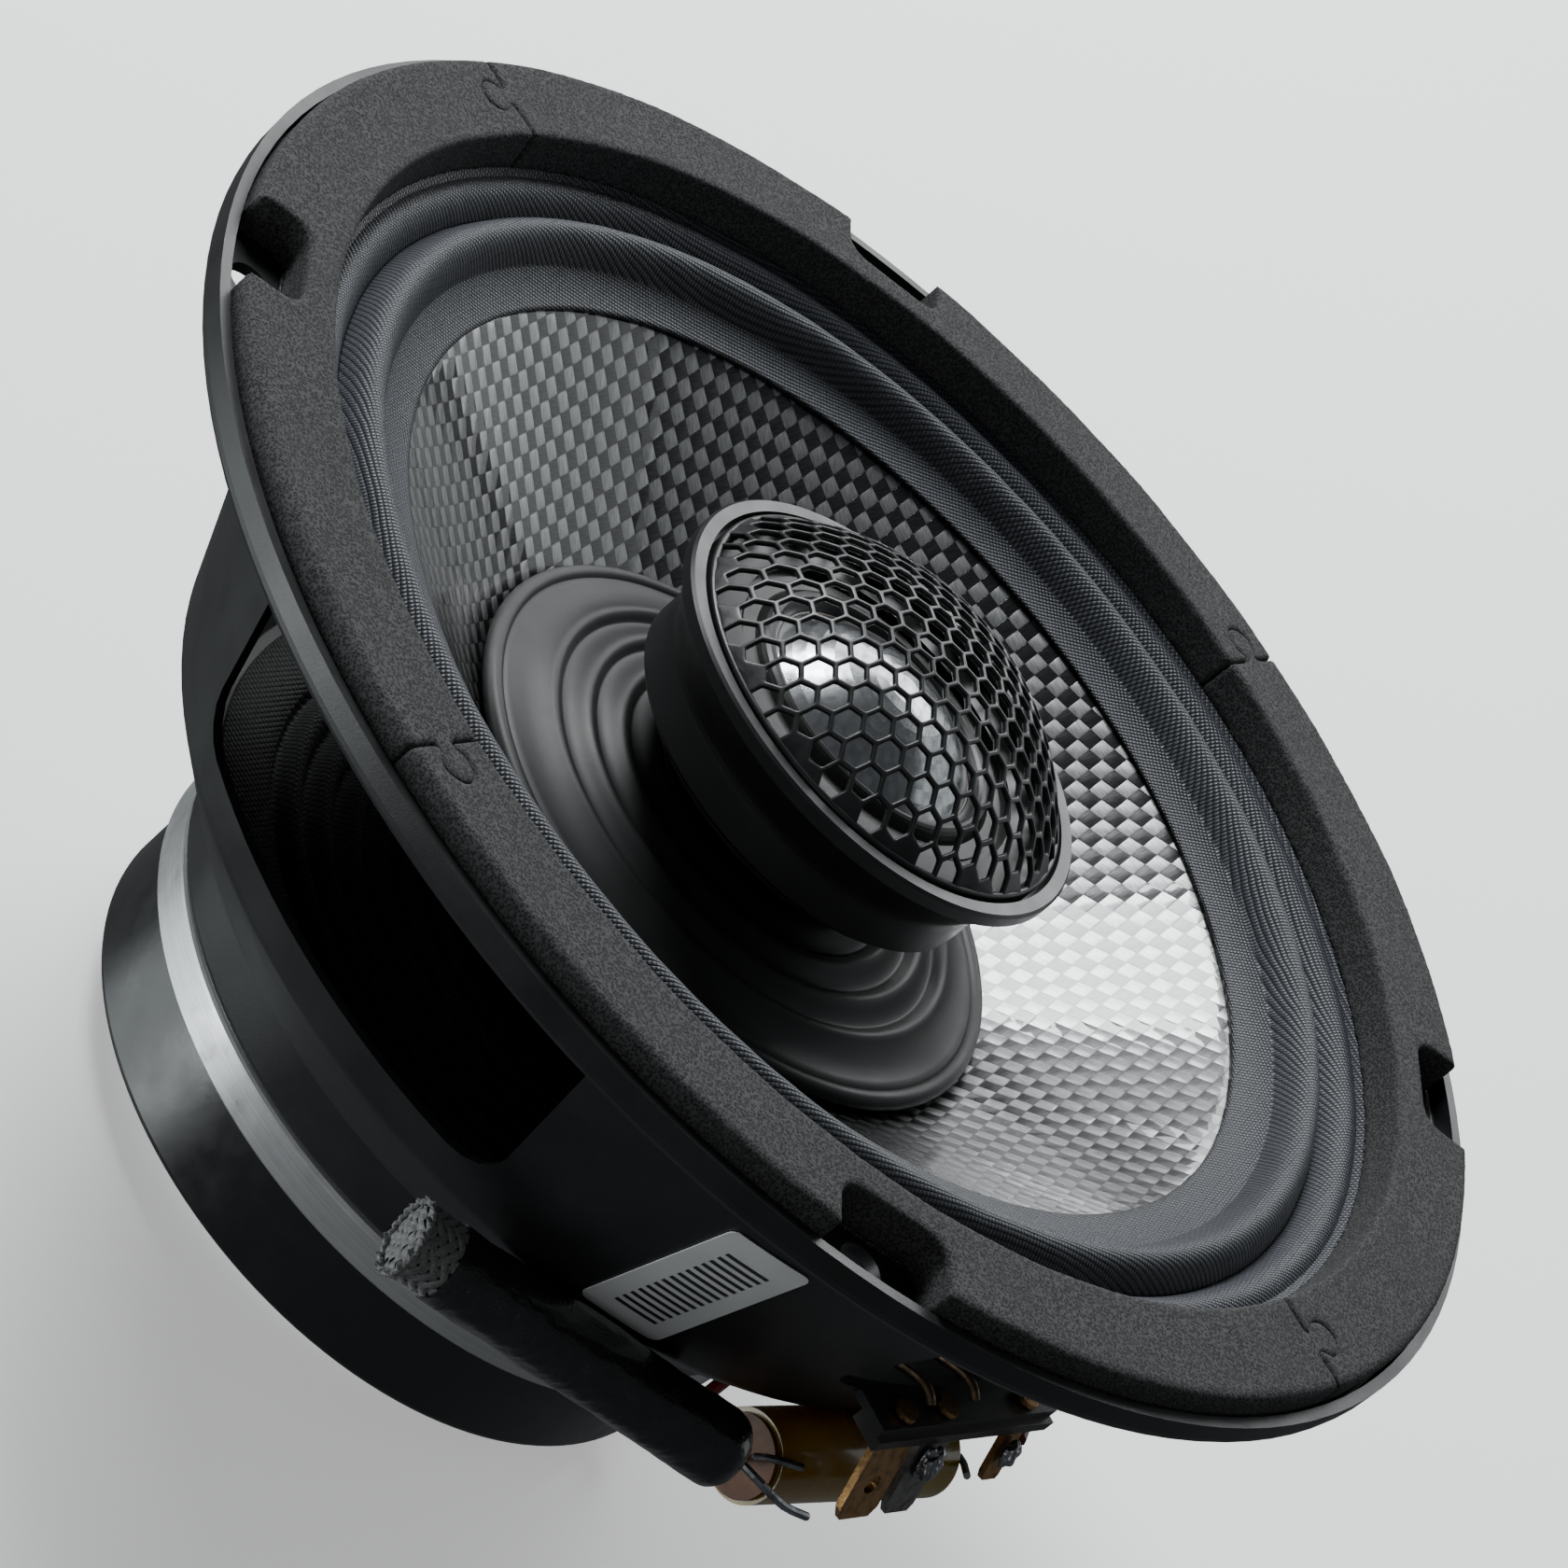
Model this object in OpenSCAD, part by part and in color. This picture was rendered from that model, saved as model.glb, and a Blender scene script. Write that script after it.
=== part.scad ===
// Two-way coaxial car speaker: a woven cone driver with a tweeter on a post in front of it.
// +Z is the speaker's axis, towards the listener. The origin is the centre of the mounting
// flange's flat back face. All sizes are in millimetres.

/* [Flange and basket] */
// Outside diameter of the mounting flange
flange_d = 166; // [156:1:200]
// Width of the flange, from its edge in to the basket wall
flange_w = 11; // [9:0.5:13]
// Thickness of the pressed steel sheet
sheet = 1.2; // [0.9:0.1:1.5]
// Height of the turned-up flange rim
rim_h = 3.7; // [3:0.1:5]
// Distance of the screw holes' centres from the flange edge
hole_edge = 5; // [4.5:0.1:6]
// Diameter of the screw holes
hole_d = 4.8; // [3.8:0.1:5.8]
// Depth of the basket, flange back face to motor
basket_depth = 54.9; // [50:0.1:66]
// Depth of the conical wall
wall_depth = 34.5; // [31:0.5:38]
// How far the conical wall draws in over its depth
wall_taper = 14; // [12:0.5:16]
// Depth of the window sills below the flange
sill_depth = 29.5; // [25:0.5:31]
// Width of a window at its sill
window_w = 53; // [44:1:56]

/* [Gasket] */
// Thickness of the foam gasket
gasket_t = 5; // [4:0.1:6]
// Width of the gasket's screw notches
notch_w = 13; // [11:0.5:15]

/* [Surround and cone] */
// Width of the surround's small outer roll
small_roll_w = 4.2; // [3.5:0.1:5]
// Width of the surround's large inner roll
big_roll_w = 5.6; // [4.6:0.1:6.7]
// Width of the surround's glued landing on the cone
landing_w = 4.6; // [3.8:0.1:5.5]
// Thickness of the surround cloth
cloth_t = 0.45; // [0.35:0.05:0.6]
// Thickness of the cone
cone_t = 0.7; // [0.6:0.1:1]
// How far the cone deepens for each millimetre of radius
cone_slope = 0.716; // [0.6:0.01:0.76]
// Diameter of the ribbed dust boot
boot_d = 67; // [60:1:74]
// Height of the boot's ribs
rib_h = 1; // [0.6:0.1:1.3]
// How far the cone moves either way
travel = 3; // [2:0.1:3.5]

/* [Motor] */
// Inside diameter of the voice coil's former
coil_d = 35.5; // [30:0.5:42]
// Length of the voice coil's winding
winding_h = 12; // [10:0.5:14]
// Diameter of the ferrite magnet
magnet_d = 80; // [74:1:96]
// Thickness of the ferrite magnet
magnet_t = 11.6; // [10:0.1:14]
// Diameter of the front plate
plate_d = 83; // [76:1:90]
// Thickness of the front plate
plate_t = 5; // [4:0.1:6]
// Diameter of the yoke's back plate
yoke_d = 67; // [60:1:72]
// Thickness of the yoke's back plate
yoke_t = 4.5; // [4:0.1:5.5]

/* [Tweeter] */
// Diameter of the tweeter housing's barrel
barrel_d = 44; // [42:0.5:48]
// Diameter of the tweeter housing's rim
tw_rim_d = 51.4; // [50.5:0.1:58]
// Height of the rim's front face above the flange's back face
tw_rim_z = 4.7; // [4:0.1:6]
// Height of the tweeter housing
tw_h = 13.9; // [13.5:0.1:14.5]
// How far the grille stands out of the rim
grille_rise = 10.9; // [9:0.1:13]
// Distance between the centres of the grille's holes
hex_pitch = 3; // [2.6:0.1:3.6]
// Width of the grille's bars
hex_bar = 0.7; // [0.5:0.1:1]
// Diameter of the tweeter's dome
dome_d = 25.5; // [23:0.5:26]
// How far the dome moves either way
tw_travel = 0.3; // [0.2:0.05:0.4]
// Diameter of the post that carries the tweeter
post_d = 16; // [13:0.5:17]

/* [Crossover and terminals] */
// Diameter of the film capacitor
cap_d = 9.6; // [8:0.1:10]
// Length of the film capacitor
cap_l = 30; // [25:1:32]
// Diameter of the choke's shrink sleeve
sleeve_d = 8.6; // [7.2:0.1:8.8]
// Length of the choke's shrink sleeve
sleeve_l = 37; // [32:1:40]
// Width of the positive blade terminal
wide_blade_w = 6.3; // [5.2:0.1:7.2]
// Width of the negative blade terminal
narrow_blade_w = 4.8; // [4:0.1:5.4]
// Length of the blade terminals
blade_l = 9; // [7.5:0.5:10.8]

/* [Hidden] */
$fn = 96;
cut = 0.01; // how far a cutter passes a face that it cuts away
glue = 0.15; // glue line between the cone's pieces and the soft parts glued to them
fit = 0.05; // gap between pieces that slot into each other

// Flange and basket wall
flange_r = flange_d / 2;
mouth_r = flange_r - flange_w; // outside of the wall at the flange
shoulder_r = mouth_r - wall_taper;
hole_r_pos = flange_r - hole_edge;
seat_r = plate_d / 2 + 0.4;
floor_r = coil_d / 2 + 6.2; // hole in the basket floor
foot_z = -basket_depth;
bend = 1.6; // outside radius of the sheet's bends
function wall_r(z) = mouth_r + z * wall_taper / wall_depth;
window_top = -2;
window_flare = 1.5; // how much wider a window is at its top, each side
window_corner = 5;
strut_a = 45; // the struts, the screw holes and the notches stand on the diagonals
rivet_n = 6;
rivet_r = 1.5;
rivet_pcd_r = (floor_r + seat_r) / 2 + 1;

// Motor
plate_back = foot_z - plate_t;
magnet_back = plate_back - magnet_t;
yoke_back = magnet_back - yoke_t;
former_in = coil_d / 2;
former_t = 0.3;
former_out = former_in + former_t;
winding_t = 0.45;
winding_out = former_out + winding_t;
pole_r = former_in - 0.5;
gap_r = winding_out + 0.6;
pole_top = foot_z + 1;
winding_mid = foot_z - plate_t / 2;
winding_bottom = winding_mid - winding_h / 2;
former_bottom = winding_bottom - 0.8;
ring_top = former_bottom - travel - 0.8; // shorting ring stays clear of the former
magnet_in = gap_r + 3.4;

// Surround, cone and spider
roll_out = mouth_r - 2.2; // outer foot of the small roll
valley_r = roll_out - small_roll_w;
big_in = valley_r - big_roll_w;
edge_r = big_in - landing_w; // the cone shows inside this radius
edge_z = -3.1; // top of the cone at edge_r
lip_slope = 0.28; // slope of the cone's glued lip
lip_w = landing_w - 0.4;
glue_r = mouth_r + 3; // outside of the surround's glued ring, under the gasket
neck_z = edge_z - cone_slope * (edge_r - former_out);
former_top = neck_z + 2.3;
function cone_z(r) = edge_z - cone_slope * (edge_r - r);
spider_t = 0.5;
spider_z = foot_z + 11.7; // underside of the spider's rim
spider_r = seat_r + 4.5;
spider_wave = 1;
spider_waves = 5;

// Dust boot
boot_r = boot_d / 2;
boot_lip_z = cone_z(boot_r) + 2.2;
boot_rise = 0.155; // how far the boot rises for each millimetre inwards
rib_pitch = 4;
rib_n = 3.5;
boot_hole_r = post_d / 2 + 4.5;
rib_start = boot_hole_r + 0.5;
boot_foot_r = boot_r - 3.1;
function boot_z(r) = boot_lip_z - 0.5 + boot_rise * (boot_r - r);

// Tweeter
tw_bottom = tw_rim_z - tw_h;
barrel_r = barrel_d / 2;
tw_rim_r = tw_rim_d / 2;
seat_ring_r = tw_rim_r - 1.7; // inside of the rim
ring_seat_r = seat_ring_r - 1.6; // inside of the face ring's seat
step_r = barrel_r - 2.5;
step_h = 1.8;
tw_floor = tw_bottom + step_h; // inner floor of the housing
cavity_r = barrel_r - 1.7;
pad_z = tw_rim_z - 2.3; // the grille and its pad stand on this ledge
ring_z = pad_z - 0.8;
dome_r = dome_d / 2;
tw_former_t = 0.2;
tw_winding_t = 0.35;
tw_gap_r = dome_r + tw_former_t + tw_winding_t + 0.6;
tw_yoke_r = tw_gap_r + 2;
tw_core_top = ring_z - 1.2;
tw_plate_t = 2;
tw_yoke_floor = tw_floor + 1.8;
dome_z = pad_z + 0.3;
dome_rise = 5.2;
dome_t = 0.3;
grille_r = seat_ring_r - 0.5;
grille_t = 0.8;
post_r = post_d / 2;
spigot_r = post_r - 3;
spigot_l = 8.5;
screw_r = 2;
lead_r = post_r + 2.1; // the tweeter's leads run this far from the axis
lead_a = 14; // and at this angle
lead_d = 1.5;
lead_hole_r = 2;

// Terminals and crossover, outside the +X window
term_a = -6.5;
tab_top = -sill_depth + 3.3; // the sill is raised this far where it carries the terminals
tab_r = wall_r(tab_top - sheet);
strip_out = tab_r + 3.2;
strip_l = 30;
strip_t = 1.4;
strip_bottom = tab_top - sheet - strip_t;
blade_t = 0.8;
splay = 22; // the blades lean out by this angle
blade_y = [-10.5, -3.4, 10.6];
cap_a = -10;
cap_z = foot_z + 14.9;
cap_pos_r = shoulder_r + cap_z + wall_depth + cap_d / 2 * sqrt(2) + 0.08; // it lies against the 45 degree shoulder
sleeve_a = -47;
sleeve_z = foot_z + 18.9;
sleeve_pos_r = shoulder_r + sleeve_d / 2 + 0.2;

// ---- outline helpers ----

function unit(v) = v / norm(v);

// An arc of n steps about c, from angle a0 to a1
function arc(c, r, a0, a1, n) = [
    for (i = [0:n]) c + r * [cos(a0 + (a1 - a0) * i / n), sin(a0 + (a1 - a0) * i / n)]
];

// The arc that rounds the corner at b, between a and c, with radius r
function corner(a, b, c, r, n) =
    let (u = unit(a - b), v = unit(c - b), half = acos(u * v) / 2)
    let (o = b + unit(u + v) * r / sin(half), p = b + u * r / tan(half), q = b + v * r / tan(half))
    let (a0 = atan2(p.y - o.y, p.x - o.x), a1 = atan2(q.y - o.y, q.x - o.x))
    let (turn = a1 - a0 > 180 ? a1 - a0 - 360 : a1 - a0 < -180 ? a1 - a0 + 360 : a1 - a0)
    arc(o, r, a0, a0 + turn, n);

// An open path whose points are [x, y, radius]: each inner corner is rounded by its radius
function rounded_path(p, n = 4) = [
    for (i = [0:len(p) - 1])
        let (b = [p[i].x, p[i].y])
        each (i == 0 || i == len(p) - 1 || p[i].z == 0) ? [b]
            : corner([p[i - 1].x, p[i - 1].y], b, [p[i + 1].x, p[i + 1].y], p[i].z, n)
];

// A closed outline with every corner rounded
function rounded_loop(p, n = 4) = [
    for (i = [0:len(p) - 1])
        let (l = len(p), a = p[(i + l - 1) % l], b = p[i], c = p[(i + 1) % l])
        each b.z == 0 ? [[b.x, b.y]] : corner([a.x, a.y], [b.x, b.y], [c.x, c.y], b.z, n)
];

// A path moved sideways by d, to its left for a positive d, with mitred corners
function left_of(a, b) = let (u = unit(b - a)) [-u.y, u.x];
function shifted(p, d) = [
    for (i = [0:len(p) - 1])
        let (n1 = left_of(p[max(i - 1, 0)], p[max(i, 1)]))
        let (n2 = left_of(p[min(i, len(p) - 2)], p[min(i + 1, len(p) - 1)]))
        p[i] + d * (n1 + n2) / (1 + n1 * n2)
];

function reversed(p) = [for (i = [len(p) - 1:-1:0]) p[i]];

// The closed outline of a sheet between two sideways shifts of a path
function band(p, d0, d1) = concat(shifted(p, d0), reversed(shifted(p, d1)));

// A point at radius r, angle a and height z about the speaker's axis
function around(r, a, z) = [r * cos(a), r * sin(a), z];

// ---- shape helpers ----

module turned(outline) {
    rotate_extrude() polygon(outline);
}

module tube(r_out, r_in, z0, z1) {
    translate([0, 0, z0]) difference() {
        cylinder(r = r_out, h = z1 - z0);
        translate([0, 0, -cut]) cylinder(r = r_in, h = z1 - z0 + 2 * cut);
    }
}

// Moves a shape drawn along +X, at the origin, to the +X side at radius r and turns it to angle a
module at(r, a, z) {
    rotate([0, 0, a]) translate([r, 0, z]) children();
}

// A rod along Y, the tangent's direction, centred on its length
module rod(r, l) {
    rotate([90, 0, 0]) translate([0, 0, -l / 2]) cylinder(r = r, h = l);
}

// A wire swept along points in space: a ring of flat sides square to the path at each point
function wire_ring(p, i, r, sides) =
    let (t = unit(p[min(i + 1, len(p) - 1)] - p[max(i - 1, 0)]))
    let (side = unit(cross(t, abs(t.z) > 0.8 ? [1, 0, 0] : [0, 0, 1])), up = cross(side, t))
    [for (k = [0:sides - 1]) p[i] + r * (side * cos(360 * k / sides) + up * sin(360 * k / sides))];

module wire(p, d, sides = 8) {
    rings = [for (i = [0:len(p) - 1]) each wire_ring(p, i, d / 2, sides)];
    last = (len(p) - 1) * sides;
    walls = [
        for (i = [0:len(p) - 2], k = [0:sides - 1])
            let (a = i * sides, b = a + sides, n = (k + 1) % sides)
            each [[a + k, a + n, b + n], [a + k, b + n, b + k]]
    ];
    ends = [
        for (k = [1:sides - 2])
            each [[0, k + 1, k], [last, last + k, last + k + 1]]
    ];
    polyhedron(points = rings, faces = concat(walls, ends));
}

// Points of a smooth curve (Catmull-Rom) through hand-placed points, n steps a span
function spline(p, n = 3) = concat([
    for (i = [0:len(p) - 2], k = [0:n - 1])
        let (t = k / n, a = p[max(i - 1, 0)], b = p[i], c = p[i + 1], d = p[min(i + 2, len(p) - 1)])
        (2 * b + (c - a) * t + (2 * a - 5 * b + 4 * c - d) * t * t
            + (3 * b - a - 3 * c + d) * t * t * t) / 2
], [p[len(p) - 1]]);

// ---- basket ----

// Back and outer side of the pressed sheet, from the rim down to the floor's inner edge
function basket_path() = rounded_path([
    [flange_r, rim_h, 0],
    [flange_r, 0, bend],
    [mouth_r, 0, 1.2],
    [shoulder_r, -wall_depth, 4],
    [spider_r + 1.8, spider_z - sheet, 1.5],
    [seat_r + 2.3, spider_z - sheet, 0.8],
    [seat_r, foot_z, bend],
    [floor_r, foot_z, 0],
]);

// The +X window's sill is raised on one side, to carry the terminals
module window_cutter(raised) {
    w = window_w / 2;
    raised_end = tab_r * tan(term_a) + strip_l / 2 + 2.5;
    outline = rounded_loop(concat(
        raised
            ? [[-w, tab_top, 3], [raised_end, tab_top, 1], [raised_end + 1, -sill_depth, 1]]
            : [[-w, -sill_depth, window_corner]],
        [[w, -sill_depth, window_corner], [w + window_flare, window_top, 2]],
        [[-w - window_flare, window_top, 2]]
    ));
    at(shoulder_r * 0.7, 0, 0) rotate([90, 0, 90]) linear_extrude(flange_r) polygon(outline);
}

// The shelf that carries the terminal strip, bent outwards from the raised sill
module strip_tab() {
    difference() {
        at(0, term_a, 0) translate([shoulder_r - 8, -strip_l / 2, tab_top - sheet])
            cube([strip_out - shoulder_r + 8, strip_l, sheet - 0.2]);
        translate([0, 0, tab_top - sheet - 1]) cylinder(r = tab_r - 0.6 * sheet, h = sheet + 2);
        strip_rivet_holes();
    }
}

module strip_rivet_holes() {
    for (y = blade_y)
        at(0, term_a, 0) translate([strip_out - 1.6, y, strip_bottom - 3]) cylinder(r = 0.8, h = 8);
}

module basket() color([0.13, 0.13, 0.14]) {
    difference() {
        turned(band(basket_path(), 0, -sheet));
        for (a = [0:90:270]) rotate([0, 0, a]) window_cutter(a == 0);
        for (a = [strut_a:90:360])
            at(hole_r_pos, a, -1) cylinder(d = hole_d, h = sheet + 2);
        for (i = [0:rivet_n - 1])
            at(rivet_pcd_r, i * 360 / rivet_n + 15, foot_z - 1) cylinder(r = rivet_r, h = sheet + 2);
    }
    strip_tab();
}

// ---- gasket: four foam segments that lock with jigsaw tabs ----

gasket_out = flange_r - sheet - 0.4;
gasket_in = mouth_r - 0.8;
gasket_top = sheet + gasket_t;
knob_r = 2;

module gasket_section() {
    turned([
        [gasket_in - 0.8, sheet + cloth_t],
        [glue_r + 0.2, sheet + cloth_t],
        [glue_r + 0.2, sheet],
        [gasket_out, sheet],
        [gasket_out, gasket_top - 0.6],
        [gasket_out - 0.6, gasket_top],
        [gasket_in, gasket_top],
    ]);
}

// The line where two segments meet, from the inside out, with a knob on its +Y side
function joint_line(gap) =
    let (mid = (gasket_in + gasket_out) / 2, k = knob_r - gap)
    concat(
        [[gasket_in - 4, gap], [mid - 1, gap]],
        arc([mid, gap + 2.4], k, 240, -60, 12),
        [[mid + 1, gap], [gasket_out + 4, gap]]
    );
function turn_points(p, a) = [for (q = p) [q.x * cos(a) - q.y * sin(a), q.x * sin(a) + q.y * cos(a)]];

module gasket_segment(i) color([0.17, 0.17, 0.18]) {
    notch_in = hole_r_pos - hole_d / 2 - 0.7;
    sector = concat(
        joint_line(0.1),
        [for (a = [10:10:80]) (gasket_out + 6) * [cos(a), sin(a)]],
        reversed(turn_points(joint_line(-0.02), 90)),
        [for (a = [80:-10:10]) (gasket_in - 6) * [cos(a), sin(a)]]
    );
    notch = rounded_loop([
        [notch_in, -notch_w / 2, 2.5],
        [flange_r + 2, -notch_w / 2, 0],
        [flange_r + 2, notch_w / 2, 0],
        [notch_in, notch_w / 2, 2.5],
    ]);
    rotate([0, 0, i * 90]) difference() {
        intersection() {
            gasket_section();
            translate([0, 0, -1]) linear_extrude(gasket_top + 2) polygon(sector);
        }
        rotate([0, 0, strut_a]) translate([0, 0, -1]) linear_extrude(gasket_top + 2) polygon(notch);
    }
}

// ---- surround, spider and cone ----

// Half a wave of n steps that starts at [r0, z0], ends at [r1, z1] and is h high
function roll(r0, z0, r1, z1, h, n) = [
    for (i = [0:n]) [r0 + (r1 - r0) * i / n, z0 + (z1 - z0) * i / n + h * sin(180 * i / n)]
];

function surround_path() =
    let (land0 = edge_z + glue + cloth_t / 2 + 0.05, land1 = land0 + lip_slope * landing_w)
    concat(
        [[edge_r, land0]],
        roll(big_in, land1, valley_r, -1.2, 3.2, 10),
        roll(valley_r + 0.2, -1.2, roll_out, 0.9, 1.4, 8),
        [[roll_out + 0.6, sheet + cloth_t / 2], [glue_r, sheet + cloth_t / 2]]
    );

module surround() color([0.22, 0.24, 0.27])
    turned(band(surround_path(), -cloth_t / 2, cloth_t / 2));

function spider_path() =
    let (mid = spider_z + spider_t / 2, r0 = former_out + 3, r1 = seat_r - 1.5)
    concat(
        [[former_out + glue + spider_t / 2, mid + 1.4], [former_out + 1.2, mid]],
        [for (i = [0:spider_waves * 8])
            [r0 + (r1 - r0) * i / spider_waves / 8, mid + spider_wave * sin(45 * i)]],
        [[r1 + 1, mid], [spider_r, mid]]
    );

module spider() color([0.1, 0.1, 0.11])
    turned(band(spider_path(), -spider_t / 2, spider_t / 2));

module cone() color([0.3, 0.31, 0.32]) difference() {
    turned(band([
        [former_out - 0.6, cone_z(former_out - 0.6)],
        [edge_r, edge_z],
        [edge_r + lip_w, edge_z + lip_slope * lip_w],
    ], -cone_t, 0));
    translate([0, 0, neck_z - 3]) cylinder(r = former_out, h = 6);
}

// Height of a rib at a phase from 0 to 1: a slow rise and a sharp fall towards the axis
function rib(t) = rib_h * pow(sin(180 * pow(1 - t, 1.6)), 1.3);

module dust_boot() color([0.09, 0.09, 0.1]) {
    step = rib_pitch / 8;
    crest = [
        for (i = [0:rib_n * 8])
            let (r = rib_start + i * step, t = (i % 8) / 8)
            [r, boot_z(r) + rib(t)]
    ];
    lip = arc([boot_r - 1, boot_lip_z - 0.9], 1, 150, -50, 6);
    turned(concat(
        [[boot_hole_r, boot_z(boot_hole_r) - 1.2], [boot_hole_r, boot_z(boot_hole_r)]],
        crest,
        [[boot_r - 2.6, boot_z(boot_r - 2.6)]],
        lip,
        [[boot_foot_r, boot_lip_z - 2]],
        [[boot_foot_r, cone_z(boot_foot_r)], [boot_foot_r - 1.4, cone_z(boot_foot_r - 1.4)]],
        [[boot_foot_r - 1.4, boot_z(boot_foot_r - 1.4) - 1.2]]
    ));
}

module coil_former() color([0.72, 0.55, 0.3])
    tube(former_out, former_in, former_bottom, former_top);

module coil_winding() color([0.72, 0.38, 0.2])
    tube(winding_out, former_out, winding_bottom, winding_bottom + winding_h);

// ---- motor ----

module top_plate() color([0.75, 0.76, 0.76]) difference() {
    turned([
        [gap_r, plate_back],
        [plate_d / 2 - 0.3, plate_back],
        [plate_d / 2, plate_back + 0.3],
        each arc([plate_d / 2 - 0.9, foot_z - 0.9], 0.9, 0, 90, 4),
        [gap_r, foot_z],
    ]);
    for (i = [0:rivet_n - 1])
        at(rivet_pcd_r, i * 360 / rivet_n + 15, foot_z - 3) cylinder(r = rivet_r, h = 4);
}

module plate_rivets() color([0.7, 0.7, 0.7])
    for (i = [0:rivet_n - 1])
        at(rivet_pcd_r, i * 360 / rivet_n + 15, foot_z - 3) {
            cylinder(r = rivet_r, h = 3 + sheet + 0.5);
            translate([0, 0, 3 + sheet]) cylinder(r1 = 2.6, r2 = 2, h = 0.8);
        }

module ferrite_magnet() color([0.05, 0.05, 0.055])
    turned(rounded_loop([
        [magnet_in, magnet_back, 0],
        [magnet_d / 2, magnet_back, 0.9],
        [magnet_d / 2, plate_back, 0.9],
        [magnet_in, plate_back, 0],
    ]));

module t_yoke() color([0.68, 0.69, 0.7]) difference() {
    turned([
        [0, yoke_back],
        each arc([yoke_d / 2 - 0.8, yoke_back + 0.8], 0.8, 270, 360, 4),
        [yoke_d / 2, magnet_back],
        [pole_r, magnet_back],
        [pole_r, pole_top - 0.8],
        [pole_r - 0.8, pole_top],
        [0, pole_top],
    ]);
    translate([0, 0, pole_top - spigot_l - 0.5]) cylinder(r = spigot_r + fit, h = spigot_l + 1);
    translate([0, 0, yoke_back - 1]) cylinder(r = screw_r + 0.25, h = -yoke_back);
    translate([0, 0, yoke_back - 1]) cylinder(r = 4, h = 4.5);
    at(lead_r, lead_a, yoke_back - 1) cylinder(r = lead_hole_r, h = pole_top - yoke_back + 2);
    at(lead_r, lead_a, yoke_back - 1) translate([0, -lead_hole_r, 0])
        cube([yoke_d, 2 * lead_hole_r, 1 + lead_hole_r]);
}

module shorting_ring() color([0.8, 0.8, 0.8])
    tube(magnet_in - 0.4, pole_r, magnet_back, ring_top);

// ---- tweeter ----

module tweeter_post() color([0.12, 0.12, 0.13]) difference() {
    union() {
        translate([0, 0, pole_top]) cylinder(r = post_r, h = tw_bottom - pole_top);
        translate([0, 0, pole_top - spigot_l]) cylinder(r = spigot_r, h = spigot_l + 1);
        translate([0, 0, tw_bottom - 1]) cylinder(r = 3, h = 1 + step_h);
    }
    translate([0, 0, pole_top - spigot_l - 1]) cylinder(r = screw_r, h = 13);
}

module post_screw() color([0.6, 0.6, 0.62]) {
    head_z = yoke_back + 0.6;
    difference() {
        translate([0, 0, head_z]) cylinder(r = 3.5, h = 2.9);
        translate([0, 0, head_z - 1]) cylinder(r = 1.7, h = 2.6, $fn = 6);
    }
    translate([0, 0, head_z + 2.8]) cylinder(r = screw_r, h = pole_top - spigot_l + 11 - head_z - 2.8);
}

module tweeter_housing() color([0.07, 0.07, 0.075]) difference() {
    turned([
        [0, tw_bottom],
        [step_r - 0.5, tw_bottom],
        [step_r, tw_bottom + 0.5],
        [step_r, tw_floor],
        [barrel_r - 0.6, tw_floor],
        each rounded_path([
            [barrel_r, tw_floor + 0.6, 0],
            [barrel_r, tw_rim_z - 6.6, 4],
            [tw_rim_r - 0.5, tw_rim_z - 1.9, 0],
        ]),
        [tw_rim_r, tw_rim_z - 1.6],
        [tw_rim_r, tw_rim_z - 0.3],
        [tw_rim_r - 0.3, tw_rim_z],
        [seat_ring_r, tw_rim_z],
        [seat_ring_r, pad_z],
        [ring_seat_r, pad_z],
        [ring_seat_r, ring_z],
        [cavity_r, ring_z],
        [cavity_r, tw_floor],
        [0, tw_floor],
    ]);
    translate([0, 0, tw_bottom - 1]) cylinder(r = 3 + fit, h = step_h + 2);
    at(lead_r, lead_a, tw_bottom - 1) cylinder(r = lead_hole_r, h = step_h + 2);
}

module tweeter_yoke() color([0.66, 0.67, 0.68]) difference() {
    turned([
        [3.5, tw_floor],
        [tw_yoke_r, tw_floor],
        [tw_yoke_r, tw_core_top],
        [tw_gap_r, tw_core_top],
        [tw_gap_r, tw_yoke_floor],
        [3.5, tw_yoke_floor],
    ]);
    at(lead_r, lead_a, tw_floor - 1) cylinder(r = lead_hole_r, h = 4);
}

module tweeter_magnet() color([0.8, 0.8, 0.8])
    tube(lead_r - lead_hole_r - 0.2, 3.5, tw_yoke_floor, tw_core_top - tw_plate_t);

module tweeter_plate() color([0.7, 0.7, 0.72])
    tube(dome_r - 0.4, 3.5, tw_core_top - tw_plate_t, tw_core_top);

module tweeter_face_ring() color([0.15, 0.15, 0.16])
    tube(ring_seat_r - 0.1, dome_r + 2.6, ring_z, pad_z);

module grille_pad() color([0.05, 0.05, 0.05])
    tube(grille_r - 1.2, dome_r + 5.4, pad_z, pad_z + 1);

// Ball that the grille's front follows
grille_ball = (grille_r * grille_r + grille_rise * grille_rise) / (2 * grille_rise);

module hex_holes() {
    reach = ceil(grille_r / hex_pitch);
    for (i = [-reach:reach], j = [-reach:reach]) {
        x = hex_pitch * (i + j / 2);
        y = hex_pitch * j * sqrt(3) / 2;
        if (norm([x, y]) < grille_r - 1.8)
            translate([x, y, tw_rim_z]) rotate([0, 0, 30])
                cylinder(r = (hex_pitch - hex_bar) / sqrt(3), h = grille_rise + 2, $fn = 6);
    }
}

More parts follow.
